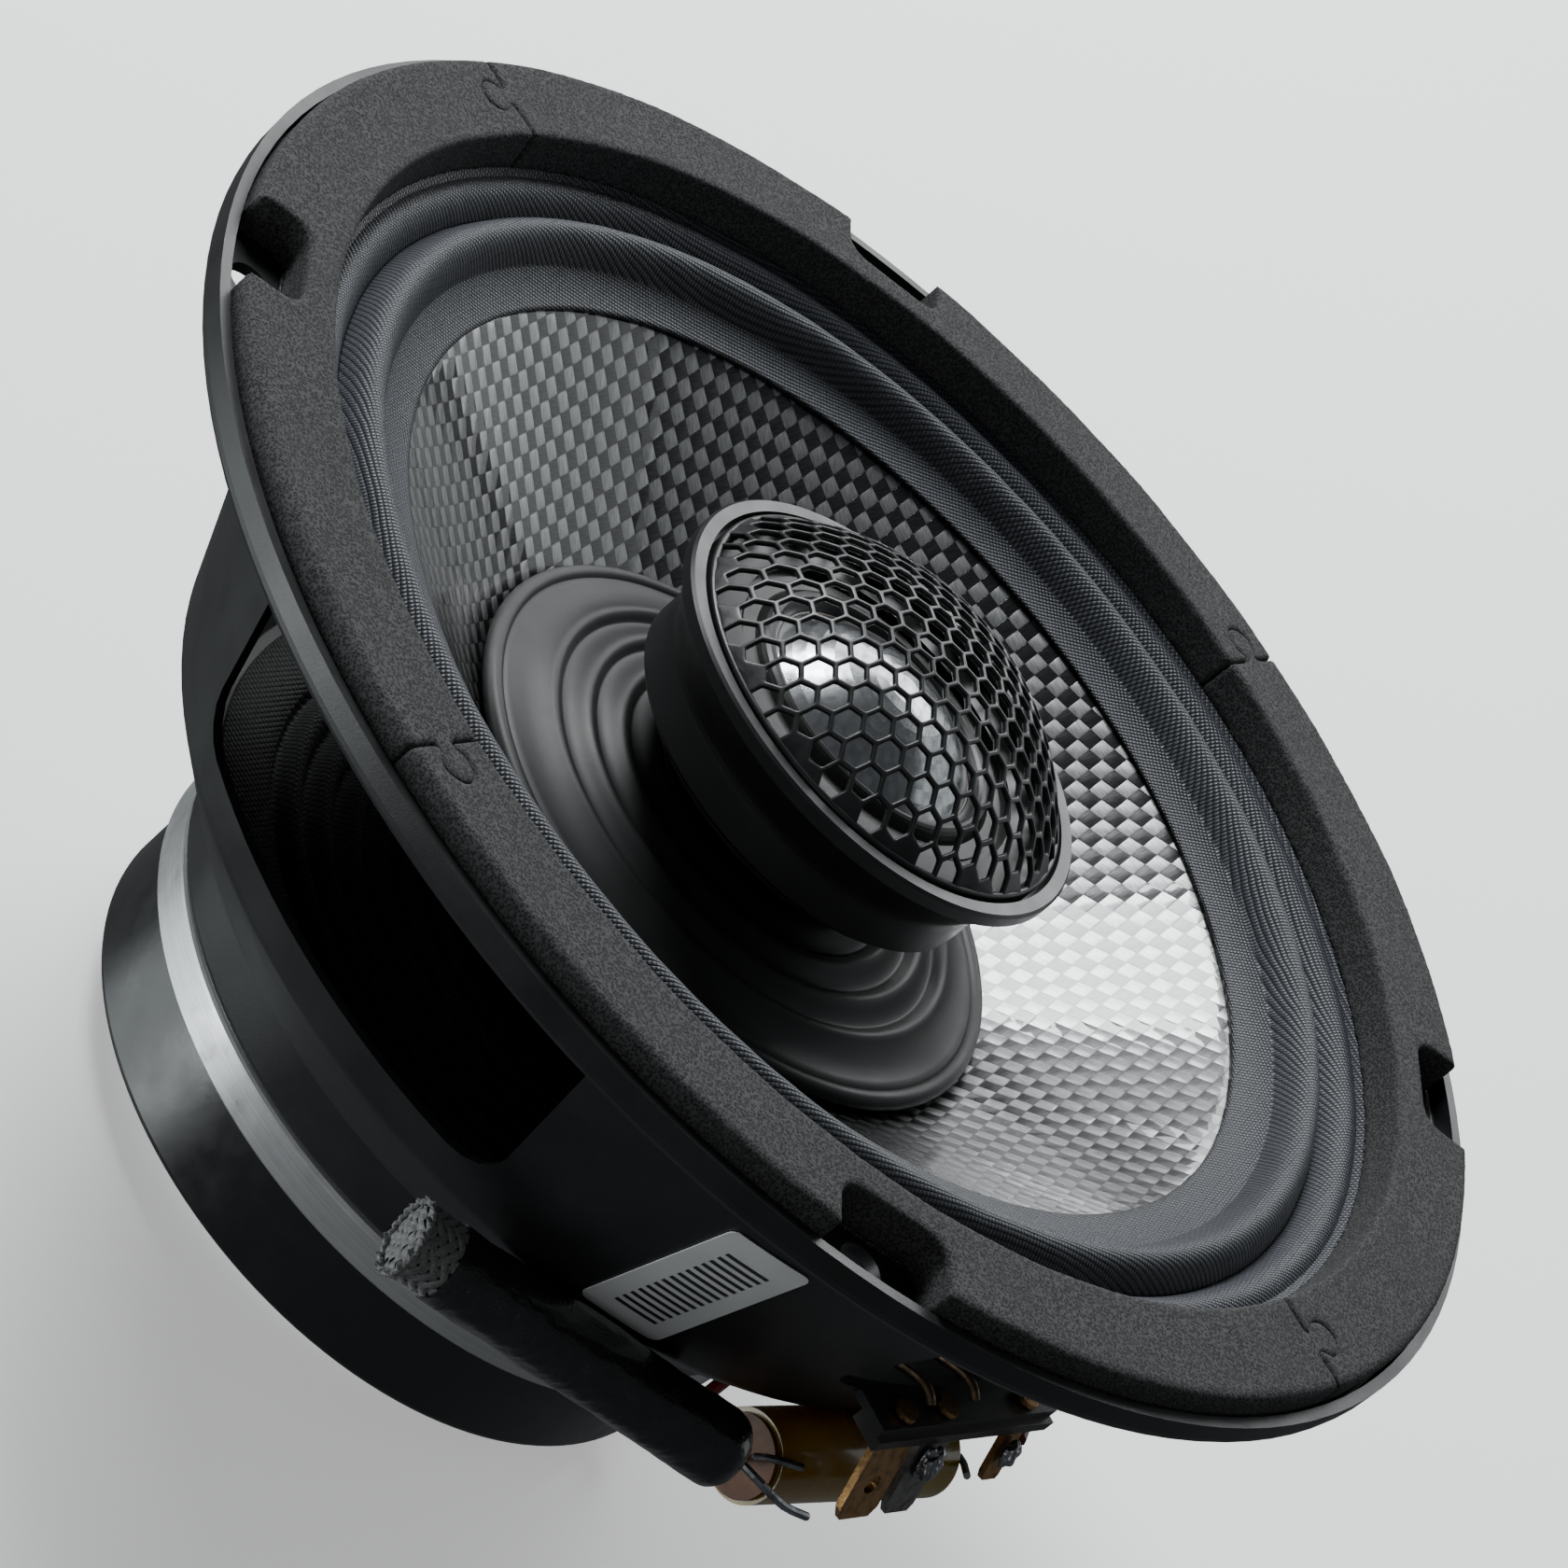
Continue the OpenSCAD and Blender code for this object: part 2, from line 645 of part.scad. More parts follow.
module tweeter_grille() color([0.1, 0.1, 0.11]) {
    tube(grille_r, grille_r - grille_t, pad_z, tw_rim_z);
    difference() {
        intersection() {
            translate([0, 0, tw_rim_z + grille_rise - grille_ball]) difference() {
                sphere(r = grille_ball);
                sphere(r = grille_ball - grille_t);
            }
            translate([0, 0, tw_rim_z]) cylinder(r = grille_r + 1, h = grille_rise + 1);
        }
        hex_holes();
    }
}

module tweeter_dome() color([0.5, 0.51, 0.53]) {
    ball = (dome_r * dome_r + dome_rise * dome_rise) / (2 * dome_rise);
    low = asin(dome_r / ball);
    turned(concat(
        arc([0, dome_z + dome_rise - ball], ball, 90 - low, 90, 10),
        reversed(arc([0, dome_z + dome_rise - ball], ball - dome_t, 90 - low, 90, 10))
    ));
}

module tweeter_surround() color([0.2, 0.2, 0.22]) {
    foot = dome_r + tw_former_t + glue;
    path = concat(
        roll(foot, dome_z, dome_r + 2.9, pad_z + 0.15, 1.1, 8),
        [[dome_r + 4.6, pad_z + 0.15]]
    );
    turned(band(path, -0.1, 0.1));
}

module tweeter_former() color([0.75, 0.6, 0.35])
    tube(dome_r + tw_former_t, dome_r, tw_core_top - tw_plate_t - 0.8, dome_z);

module tweeter_winding() color([0.72, 0.38, 0.2])
    tube(dome_r + tw_former_t + tw_winding_t, dome_r + tw_former_t,
        tw_core_top - tw_plate_t - 0.4, tw_core_top + 0.2);

// ---- terminals ----

module terminal_strip() color([0.09, 0.08, 0.07]) difference() {
    at(0, term_a, 0) translate([tab_r + 0.1, -strip_l / 2, strip_bottom])
        cube([strip_out - tab_r + 0.7, strip_l, strip_t]);
    strip_rivet_holes();
}

module strip_rivets() color([0.75, 0.7, 0.5])
    for (y = blade_y)
        at(0, term_a, 0) translate([strip_out - 1.6, y, strip_bottom - blade_t]) {
            cylinder(r = 0.8, h = tab_top - strip_bottom + blade_t + 0.3);
            translate([0, 0, tab_top - strip_bottom + blade_t]) cylinder(r = 1.3, h = 0.6);
        }

// The place where a lug's blade bends down from its foot under the strip
module lug_bend(y) { at(strip_out + 0.3, term_a, strip_bottom) translate([0, y, 0]) children(); }

// A lug: a riveted foot, and a blade that leans out, with chamfered tip and an optional eye
module lug(y, w, l, eye) {
    out = l * sin(splay);
    tip = -l * cos(splay);
    side_view = band([[-3.3, 0], [0, 0], [out, tip]], 0, -blade_t);
    front_view = [
        [-w / 2, 1], [-w / 2, tip + w / 6], [-w / 3, tip - 0.4],
        [w / 3, tip - 0.4], [w / 2, tip + w / 6], [w / 2, 1],
    ];
    lug_bend(y) difference() {
        intersection() {
            rotate([90, 0, 0]) translate([0, 0, -w / 2]) linear_extrude(w) polygon(side_view);
            translate([-5, 0, 0]) rotate([90, 0, 90]) linear_extrude(20) polygon(front_view);
        }
        if (eye > 0)
            translate([out * 0.55, 0, tip * 0.55]) rotate([0, 90 - splay, 0])
                translate([0, 0, -3]) cylinder(r = eye, h = 6);
        translate([-1.9, 0, -2]) cylinder(r = 0.8, h = 3);
    }
}

module positive_terminal() color([0.78, 0.72, 0.5]) lug(blade_y[0], wide_blade_w, blade_l, 1.1);
module negative_terminal() color([0.72, 0.7, 0.62]) lug(blade_y[1], narrow_blade_w, blade_l, 0);
module spare_terminal() color([0.8, 0.66, 0.4]) lug(blade_y[2], 2.8, blade_l * 0.7, 0);

// Solder on the outside of the blades, near their bends
module solder_joints() color([0.7, 0.71, 0.72])
    for (y = [blade_y[1], blade_y[2]])
        lug_bend(y) rotate([0, -splay, 0]) translate([0, 0, -2.6]) intersection() {
            sphere(r = 1.7);
            translate([0, -2, -2]) cube(4);
        }

// ---- crossover ----

module cap_place() { at(cap_pos_r, cap_a, cap_z) children(); }
module sleeve_place() { at(sleeve_pos_r, sleeve_a, sleeve_z) translate([0, 2, 0]) children(); }

module capacitor() color([0.85, 0.62, 0.1]) cap_place() rod(cap_d / 2, cap_l - 1.2);

module capacitor_ends() color([0.75, 0.5, 0.15]) cap_place()
    for (s = [-1, 1]) translate([0, s * (cap_l / 2 - 0.3), 0]) rod(cap_d / 2 - 0.5, 0.6);

module capacitor_leads() color([0.7, 0.7, 0.7]) {
    end_y = cap_l / 2 + 0.1;
    cap_place() {
        wire(spline([
            [0, -end_y, 0], [0.5, -end_y - 1.6, 0.8], [2.2, -end_y - 1, 3.4],
            [4, -end_y + 2.4, 4.4],
        ]), 0.8);
        wire(spline([
            [0, end_y, 0], [0.5, end_y + 1, 0.6], [2.4, end_y + 1, 2.6], [5.6, end_y - 2.2, 4.4],
        ]), 0.8);
    }
}

choke_r = sleeve_d / 2 - 1.3;
braid_r = sleeve_d / 2 - 0.5;
braid_l = 4; // how far the braid stands out of the shrink sleeve

module choke_core() color([0.2, 0.2, 0.2]) sleeve_place()
    translate([0, 3, 0]) rod(choke_r, sleeve_l - 10);

// Glass-fibre braid over the choke, open at one end
module braided_sleeve() color([0.35, 0.35, 0.35]) sleeve_place() difference() {
    translate([0, -braid_l / 2 - 1, 0]) rod(braid_r, sleeve_l + braid_l - 6);
    translate([0, -braid_l - 2, 0]) rod(choke_r, sleeve_l + braid_l);
}

// Heat-shrink sleeve: open over the braid, drawn to a blunt end
module shrink_sleeve() color([0.04, 0.04, 0.045]) sleeve_place() rotate([-90, 0, 0])
    translate([0, 0, -sleeve_l / 2]) difference() {
        turned([
            [0, 0],
            [sleeve_d / 2, 0],
            each arc([sleeve_d / 2 - 3, sleeve_l - 3], 3, 0, 90, 5),
            [0, sleeve_l],
        ]);
        translate([0, 0, -1]) cylinder(r = braid_r, h = sleeve_l - 1);
    }

module choke_lead() color([0.6, 0.6, 0.6])
    sleeve_place() wire(spline([
        [0, sleeve_l / 2 + 0.1, 0], [0.8, sleeve_l / 2 + 3, -0.2], [0.6, sleeve_l / 2 + 6.5, -1],
        [-0.8, sleeve_l / 2 + 10, -1.6],
    ]), 0.9);

// Black glue between the sleeve and the basket's shoulder
module glue_bead() color([0.03, 0.03, 0.03]) difference() {
    sleeve_place() translate([-3.4, -2, -1]) rod(2.8, sleeve_l * 0.6);
    sleeve_place() rod(sleeve_d / 2, sleeve_l + 10);
    turned(concat(
        [[0, 0]],
        [for (p = basket_path()) if (p.y < -12) p],
        [[0, foot_z]]
    ));
}

// ---- leads ----

// Tinsel leads: from the strip's rivets, in over the sill, to the back of the cone
module tinsel_leads() color([0.65, 0.5, 0.3]) {
    r1 = former_out + 9;
    for (y = [-7, 0.6])
        rotate([0, 0, term_a]) wire(spline([
            [strip_out - 1.6, y, tab_top + 0.8], [tab_r - 1, y, tab_top + 1.2],
            [tab_r - 8, y, tab_top - 2.2], [tab_r - 18, y, tab_top - 5],
            [r1 + 3, y, cone_z(r1) - 6.2], [r1, y, cone_z(r1) - 1.7],
        ]), 1.1);
}

// Tweeter leads: down beside the post, through the pole, out along the back and up to the strip
module tweeter_leads() color([0.35, 0.08, 0.08]) {
    back_z = yoke_back + 1.1;
    out_r = max(magnet_d, plate_d) / 2 + 1;
    for (s = [-0.82, 0.82])
        rotate([0, 0, lead_a]) wire([
            [lead_r, s, tw_yoke_floor + 1], [lead_r, s, pole_top], [lead_r, s, back_z + 1.4],
            [lead_r + 0.7, s, back_z + 0.4], [lead_r + 2, s, back_z], [yoke_d / 2, s, back_z],
            [magnet_d / 2 - 1.6, s, magnet_back - 1.3], [out_r - 0.6, s, magnet_back - 0.6],
            [out_r, s, magnet_back + 1.4], [out_r, s, foot_z - 1], [out_r + 1.6, s, foot_z + 4],
            [seat_r + 3.6, s, spider_z - sheet - 1.6], [spider_r + 2, s, spider_z - sheet - 1.6],
            [shoulder_r - 2.2, s, -wall_depth - 4.2],
            [shoulder_r + 3.5, 0.75 * s - 0.8, strip_bottom - 5.2 + 0.75 * s],
            [strip_out + 0.2, -5, strip_bottom - 3.6 + s],
            [strip_out + 1.1, -10, strip_bottom - 3 + s],
        ], lead_d);
}

// ---- label ----

// A blank paper label on the wall, on the strut between the +X and -Y windows
module label() color([0.93, 0.93, 0.92]) {
    label_w = 9.5;
    z0 = -wall_depth + 1.4;
    z1 = -10.5;
    intersection() {
        turned([
            [wall_r(z0) + 0.02, z0], [wall_r(z0) + 0.16, z0],
            [wall_r(z1) + 0.16, z1], [wall_r(z1) + 0.02, z1],
        ]);
        at(shoulder_r - 10, -strut_a, 0) rotate([90, 0, 90]) linear_extrude(40) polygon(rounded_loop([
            [-label_w / 2, z0, 1], [label_w / 2, z0, 1], [label_w / 2, z1 + 0.01, 1],
            [-label_w / 2, z1 + 0.01, 1],
        ]));
    }
}

basket();
gasket_segment(0);  // gasket_segment_1
gasket_segment(1);  // gasket_segment_2
gasket_segment(2);  // gasket_segment_3
gasket_segment(3);  // gasket_segment_4
surround();
spider();
cone();
dust_boot();
coil_former();
coil_winding();
top_plate();
plate_rivets();
ferrite_magnet();
t_yoke();
shorting_ring();
tweeter_post();
post_screw();
tweeter_housing();
tweeter_yoke();
tweeter_magnet();
tweeter_plate();
tweeter_face_ring();
grille_pad();
tweeter_grille();
tweeter_surround();
tweeter_dome();
tweeter_former();
tweeter_winding();
terminal_strip();
strip_rivets();
positive_terminal();
negative_terminal();
spare_terminal();
solder_joints();
capacitor();
capacitor_ends();
capacitor_leads();
choke_core();
braided_sleeve();
shrink_sleeve();
choke_lead();
glue_bead();
tinsel_leads();
tweeter_leads();
label();
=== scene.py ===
"""Looks of a two-way coaxial car speaker.

It has a woven cone, a cloth surround, a foam gasket, a ribbed boot and a tweeter under hex mesh.
Lengths are in millimetres until a mesh is made, in the CAD frame: +Z is the speaker's axis, and
z = 0 is the flange's back.
"""
import math
import random

import bmesh
import bpy
import numpy as np
from mathutils import Matrix, Quaternion, Vector, noise


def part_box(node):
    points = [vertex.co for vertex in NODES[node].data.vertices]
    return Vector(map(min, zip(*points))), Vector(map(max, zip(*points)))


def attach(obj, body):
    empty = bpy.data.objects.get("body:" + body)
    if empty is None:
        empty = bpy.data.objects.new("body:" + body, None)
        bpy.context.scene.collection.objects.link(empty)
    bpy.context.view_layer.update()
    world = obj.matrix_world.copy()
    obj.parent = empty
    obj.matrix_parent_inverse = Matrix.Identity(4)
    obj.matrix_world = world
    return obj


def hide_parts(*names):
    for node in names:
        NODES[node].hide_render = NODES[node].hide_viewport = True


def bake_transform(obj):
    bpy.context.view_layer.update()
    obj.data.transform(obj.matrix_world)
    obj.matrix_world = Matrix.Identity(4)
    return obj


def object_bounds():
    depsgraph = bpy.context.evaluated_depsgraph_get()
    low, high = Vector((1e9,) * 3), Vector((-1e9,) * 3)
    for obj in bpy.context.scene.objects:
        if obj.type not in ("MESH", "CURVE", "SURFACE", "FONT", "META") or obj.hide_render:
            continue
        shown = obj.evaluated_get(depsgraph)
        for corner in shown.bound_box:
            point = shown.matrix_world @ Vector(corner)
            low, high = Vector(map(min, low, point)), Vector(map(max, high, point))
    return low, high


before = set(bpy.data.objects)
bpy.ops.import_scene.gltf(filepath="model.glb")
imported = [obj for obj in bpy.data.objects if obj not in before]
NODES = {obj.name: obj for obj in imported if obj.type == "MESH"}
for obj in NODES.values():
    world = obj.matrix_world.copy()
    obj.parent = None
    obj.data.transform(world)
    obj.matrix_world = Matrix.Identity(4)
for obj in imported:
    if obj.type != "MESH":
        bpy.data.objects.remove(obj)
cad_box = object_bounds()
MM = 0.001


def top(node):
    """The highest corner of a CAD node, in millimetres."""
    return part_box(node)[1] / MM


def low(node):
    """The lowest corner of a CAD node, in millimetres."""
    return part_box(node)[0] / MM


# ---- camera, floor and lights ----

CAMERA_AZIMUTH, CAMERA_ELEVATION, CAMERA_ROLL = -72.48, 28.09, 49.17
CAMERA_DISTANCE = 0.5475
AIM = Vector((0.66, -4.47, -7.56)) * MM


def add_camera():
    a, e = math.radians(CAMERA_AZIMUTH), math.radians(CAMERA_ELEVATION)
    back = Vector((math.cos(a) * math.cos(e), math.sin(a) * math.cos(e), math.sin(e)))
    camera = bpy.data.objects.new("camera", bpy.data.cameras.new("camera"))
    camera.data.lens, camera.data.sensor_width = 125.95, 36
    camera.data.clip_start, camera.data.clip_end = 0.05, 20
    camera.rotation_mode = "QUATERNION"
    level = (-back).to_track_quat("-Z", "Y")
    camera.rotation_quaternion = Quaternion(back, math.radians(CAMERA_ROLL)) @ level
    camera.location = AIM + back * CAMERA_DISTANCE
    bpy.context.scene.collection.objects.link(camera)
    bpy.context.scene.camera = camera
    return camera.rotation_quaternion.to_matrix()


def softbox(view, name, right, up, near, distance, size, power, tint=(1, 1, 1)):
    """An area light that faces the object, placed along the camera's right, up and towards axes."""
    away = (view @ Vector((right, up, near))).normalized()
    light = bpy.data.lights.new(name, "AREA")
    light.shape, light.size, light.size_y = "RECTANGLE", size[0], size[1]
    light.energy, light.color = power, tint
    lamp = bpy.data.objects.new(name, light)
    lamp.location = away * distance
    lamp.rotation_mode = "QUATERNION"
    lamp.rotation_quaternion = away.to_track_quat("Z", "Y")
    bpy.context.scene.collection.objects.link(lamp)


def add_studio():
    view = add_camera()
    softbox(view, "key_overhead", 0.2, 0.98, 0.0, 1.1, (0.5, 0.42), 17, (0.96, 0.99, 1))
    softbox(view, "strip_behind", 0.57, 0.64, -0.5, 1.1, (0.75, 0.5), 6.5, (0.96, 0.99, 1))
    softbox(view, "fill_left", -0.85, 0.25, 0.35, 1.2, (0.35, 0.9), 6, (0.93, 0.98, 1))
    softbox(view, "low_left", -0.95, 0.3, 0.0, 1.2, (0.9, 0.9), 5.5, (0.9, 0.98, 1))
    softbox(view, "fill_right", 0.86, 0.07, -0.5, 1.3, (1.3, 1.1), 3.2, (0.93, 0.98, 1))
    softbox(view, "fill_front", -0.15, -0.3, 0.95, 1.5, (0.7, 0.7), 1.4)
    world = bpy.data.worlds.new("studio")
    bpy.context.scene.world = world
    world.use_nodes = True
    world.node_tree.nodes["Background"].inputs["Color"].default_value = (0.9, 0.95, 1, 1)
    world.node_tree.nodes["Background"].inputs["Strength"].default_value = 0.1
    mesh = bpy.data.meshes.new("floor")
    half, z = 6, cad_box[0].z - 0.0002
    corners = [(-half, -half, z), (half, -half, z), (half, half, z), (-half, half, z)]
    mesh.from_pydata(corners, [], [(0, 1, 2, 3)])
    floor = bpy.data.objects.new("floor", mesh)
    bpy.context.scene.collection.objects.link(floor)
    paint = Material("floor_paint", (0.95, 0.95, 0.95), 0.7, Emission_Strength=0.42)
    paint.set("Emission Color", (1, 1, 1, 1))
    mesh.materials.append(paint.data)
    # hidden from all but the camera, because two soft boxes stand below its level
    floor.visible_glossy = floor.visible_diffuse = floor.visible_shadow = False


# ---- materials ----

class Material:
    """A Principled material and short calls for its nodes. A value that doesn't vary is set on its socket."""

    def __init__(self, name, color, rough, metal=0.0, **sockets):
        self.data = bpy.data.materials.new(name)
        self.data.use_nodes = True
        self.tree = self.data.node_tree
        self.shader = self.tree.nodes["Principled BSDF"]
        self.data.diffuse_color = (*color, 1)
        self.set("Base Color", (*color, 1))
        self.set("Roughness", rough)
        self.set("Metallic", metal)
        for key, value in sockets.items():
            self.set(key.replace("_", " "), value)
        self.object = self.add("ShaderNodeTexCoord").outputs["Object"]

    def put(self, socket, value):
        if isinstance(value, bpy.types.NodeSocket):
            self.tree.links.new(value, socket)
        else:
            socket.default_value = value

    def set(self, name, value):
        self.put(self.shader.inputs[name], value)

    def add(self, kind, inputs=(), **settings):
        node = self.tree.nodes.new(kind)
        for key, value in settings.items():
            setattr(node, key, value)
        for key, value in dict(inputs).items():
            self.put(node.inputs[key], value)
        return node

    def math(self, kind, a, b=0.0, c=0.0):
        return self.add("ShaderNodeMath", {0: a, 1: b, 2: c}, operation=kind).outputs[0]

    def stretched(self, scale, vector=None, turn=0.0):
        node = self.add("ShaderNodeMapping", {"Vector": vector or self.object})
        node.inputs["Scale"].default_value = scale if hasattr(scale, "__len__") else (scale,) * 3
        node.inputs["Rotation"].default_value = (0, 0, math.radians(turn))
        return node.outputs[0]

    def noise(self, per_mm, detail=2.0, rough=0.5, vector=None, lumps=0.0):
        """Noise from 0 to 1 with about per_mm features to the millimetre."""
        inputs = {"Vector": vector or self.object, "Scale": per_mm / MM}
        inputs.update({"Detail": detail, "Roughness": rough, "Distortion": lumps})
        return self.add("ShaderNodeTexNoise", inputs).outputs["Fac"]

    def cells(self, per_mm):
        """Distance from points scattered about per_mm to the millimetre."""
        inputs = {"Vector": self.object, "Scale": per_mm / MM}
        return self.add("ShaderNodeTexVoronoi", inputs).outputs["Distance"]

    def ramp(self, factor, *stops):
        node = self.add("ShaderNodeValToRGB", {"Fac": factor})
        while len(node.color_ramp.elements) < len(stops):
            node.color_ramp.elements.new(0.5)
        for element, (place, value) in zip(node.color_ramp.elements, stops):
            element.position = place
            element.color = (*value, 1) if hasattr(value, "__len__") else (value, value, value, 1)
        return node.outputs["Color"]

    def range(self, value, a, b, low_out=0.0, high_out=1.0):
        inputs = {"Value": value, "From Min": a, "From Max": b, "To Min": low_out, "To Max": high_out}
        return self.add("ShaderNodeMapRange", inputs).outputs["Result"]

    def mix(self, factor, a, b):
        """The number a where the factor is 0, and b where it is 1."""
        return self.add("ShaderNodeMix", {0: factor, 2: a, 3: b}, data_type="FLOAT").outputs[0]

    def blend(self, factor, a, b):
        """The colour a where the factor is 0, and b where it is 1."""
        a, b = ((*color, 1) if isinstance(color, tuple) else color for color in (a, b))
        return self.add("ShaderNodeMix", {0: factor, 6: a, 7: b}, data_type="RGBA").outputs[2]

    def bump(self, height, depth_mm, strength=1.0, under=None):
        node = self.add("ShaderNodeBump", {"Height": height})
        node.inputs["Distance"].default_value = depth_mm * MM
        node.inputs["Strength"].default_value = strength
        if under is not None:
            self.put(node.inputs["Normal"], under)
        return node.outputs["Normal"]

    def axes(self, vector=None):
        return self.add("ShaderNodeSeparateXYZ", {"Vector": vector or self.object}).outputs

    def radius(self):
        """Distance from the speaker's axis, in metres."""
        x, y, _ = self.axes()
        return self.math("SQRT", self.math("ADD", self.math("MULTIPLY", x, x), self.math("MULTIPLY", y, y)))

    def weave(self, pitch, turn, wander=0.0):
        """A plain weave in X and Y: its height from 0 to 1, and 1 where the warp is on top."""
        vector = self.stretched(1 / (pitch * MM), turn=turn)
        if wander:
            shift = self.add("ShaderNodeTexNoise", {"Vector": self.object})
            shift.inputs["Scale"].default_value = 0.35 / MM
            scaled = self.add("ShaderNodeVectorMath", {0: shift.outputs["Color"]}, operation="SCALE")
            scaled.inputs["Scale"].default_value = wander
            both = {0: vector, 1: scaled.outputs[0]}
            vector = self.add("ShaderNodeVectorMath", both, operation="ADD").outputs[0]
        u, v, _ = self.axes(vector)
        across, along = (self.math("ABSOLUTE", self.math("SINE", self.math("MULTIPLY", w, math.pi)))
                         for w in (u, v))
        steps = self.math("ADD", self.math("FLOOR", u), self.math("FLOOR", v))
        warp = self.math("ABSOLUTE", self.math("MODULO", steps, 2.0))
        up = [self.math("MULTIPLY", self.math("POWER", a, 0.5), self.math("MULTIPLY_ADD", b, 0.6, 0.4))
              for a, b in ((across, along), (along, across))]
        return self.mix(warp, up[1], up[0]), warp


def powder_coat():
    m = Material("powder_coat", (0.011, 0.0115, 0.012), 0.42, Specular_IOR_Level=0.5)
    fine, broad = m.noise(5, 3), m.noise(0.12, 3)
    m.set("Base Color", m.ramp(broad, (0.3, (0.009, 0.009, 0.0095)), (0.75, (0.016, 0.017, 0.018))))
    m.set("Roughness", m.range(m.math("MULTIPLY_ADD", fine, 0.4, broad), 0.4, 1.1, 0.34, 0.52))
    m.set("Normal", m.bump(fine, 0.03, 0.5, m.bump(m.noise(1.2, 2), 0.05, 0.25)))
    return m


def foam():
    m = Material("foam", (0.03, 0.03, 0.03), 0.95, Specular_IOR_Level=0.2)
    pores, grain, broad = m.cells(3.4), m.noise(7, 3, 0.7), m.noise(0.25, 3)
    spots = m.math("MULTIPLY_ADD", grain, 0.75, m.math("MULTIPLY", pores, 0.55))
    tone = m.ramp(spots, (0.3, (0.006, 0.006, 0.006)), (0.55, (0.027, 0.027, 0.0275)),
                  (0.78, (0.085, 0.085, 0.086)))
    m.set("Base Color", m.blend(m.range(broad, 0.35, 0.7, 0.0, 0.3), tone, (0.05, 0.05, 0.05)))
    m.set("Normal", m.bump(spots, 0.12, 0.9))
    return m


def surround_cloth():
    m = Material("surround_cloth", (0.05, 0.055, 0.07), 0.6, Specular_IOR_Level=0.45)
    height, _ = m.weave(0.43, 28, wander=0.35)
    worn, r = m.noise(0.6, 3), m.radius()
    # the threads' colour follows the weave height: painted shade in the low gaps between them, lighter on
    # their tops
    gap_shaded_threads = m.ramp(height, (0.25, (0.008, 0.009, 0.012)), (0.65, (0.022, 0.025, 0.032)),
                     (0.95, (0.085, 0.094, 0.115)))
    rubbed = m.blend(m.range(worn, 0.35, 0.75, 0.0, 0.45), gap_shaded_threads, (0.02, 0.022, 0.028))
    glued = m.math("MULTIPLY", m.range(r, 0.0553, 0.0562, 1, 0), 0.6)
    m.set("Base Color", m.blend(glued, rubbed, (0.012, 0.012, 0.014)))
    m.set("Roughness", m.range(height, 0.2, 1.0, 0.65, 0.34))
    m.set("Normal", m.bump(height, 0.11, 1.0, m.bump(worn, 0.1, 0.3)))
    return m


def spider_cloth():
    m = Material("spider_cloth", (0.012, 0.012, 0.013), 0.7)
    height, _ = m.weave(0.6, 0)
    # the colour follows the weave height: painted shade in the low gaps between the threads
    m.set("Base Color", m.ramp(height, (0.3, (0.003, 0.003, 0.003)), (0.95, (0.03, 0.03, 0.032))))
    m.set("Normal", m.bump(height, 0.2, 1.0))
    return m


def woven_cone():
    """Flat fibre tows in a plain weave under a clear coat. Each tow shines across its own length."""
    m = Material("woven_cone", (0.1, 0.1, 0.1), 0.36, 0.75,
                 Anisotropic=0.7, Coat_Weight=1.0, Coat_Roughness=0.03)
    turn = 14
    height, warp = m.weave(1.68, -turn, wander=0.08)
    fibres = m.noise(1, 3, 0.6, m.stretched((9, 0.7, 0.7), turn=-turn))
    fibres_2 = m.noise(1, 3, 0.6, m.stretched((0.7, 9, 0.7), turn=-turn))
    strands = m.mix(warp, fibres, fibres_2)
    light = m.ramp(strands, (0.3, (0.15, 0.152, 0.155)), (0.7, (0.34, 0.343, 0.345)))
    dark = m.ramp(strands, (0.3, (0.02, 0.02, 0.021)), (0.7, (0.07, 0.07, 0.072)))
    tows = m.blend(warp, dark, light)
    # the low gaps between the tows are pulled towards near black: painted shade
    m.set("Base Color", m.blend(m.range(height, 0.05, 0.4, 0.75, 0.0), tows, (0.012, 0.012, 0.013)))
    a = math.radians(turn)
    along = [m.add("ShaderNodeCombineXYZ", {0: x, 1: y, 2: 0.0}).outputs[0]
             for x, y in ((math.cos(a), math.sin(a)), (-math.sin(a), math.cos(a)))]
    tangent = m.add("ShaderNodeMix", {0: warp, 4: along[1], 5: along[0]}, data_type="VECTOR")
    m.set("Tangent", tangent.outputs[1])
    m.set("Normal", m.bump(m.math("MULTIPLY_ADD", strands, 0.12, height), 0.09, 0.8))
    m.set("Coat Normal", m.bump(height, 0.018, 0.8, m.bump(m.noise(0.15, 1), 0.2, 0.12)))
    return m


def rubber():
    m = Material("rubber", (0.012, 0.012, 0.0125), 0.5, Specular_IOR_Level=0.28)
    fine, broad = m.noise(3, 3), m.noise(0.1, 3)
    m.set("Base Color", m.ramp(broad, (0.3, (0.009, 0.009, 0.0095)), (0.8, (0.02, 0.02, 0.021))))
    m.set("Roughness", m.range(m.math("MULTIPLY_ADD", fine, 0.3, broad), 0.35, 1.0, 0.42, 0.56))
    m.set("Normal", m.bump(fine, 0.02, 0.35, m.bump(broad, 0.2, 0.15)))
    return m


def moulding(name, rough):
    m = Material(name, (0.012, 0.012, 0.013), rough)
    fine, broad = m.noise(6, 2), m.noise(0.2, 3)
    m.set("Base Color", m.ramp(broad, (0.3, (0.009, 0.009, 0.01)), (0.8, (0.017, 0.017, 0.018))))
    worn = m.math("MULTIPLY_ADD", fine, 0.3, broad)
    m.set("Roughness", m.range(worn, 0.35, 1.0, rough - 0.06, rough + 0.1))
    m.set("Normal", m.bump(fine, 0.012, 0.4))
    return m


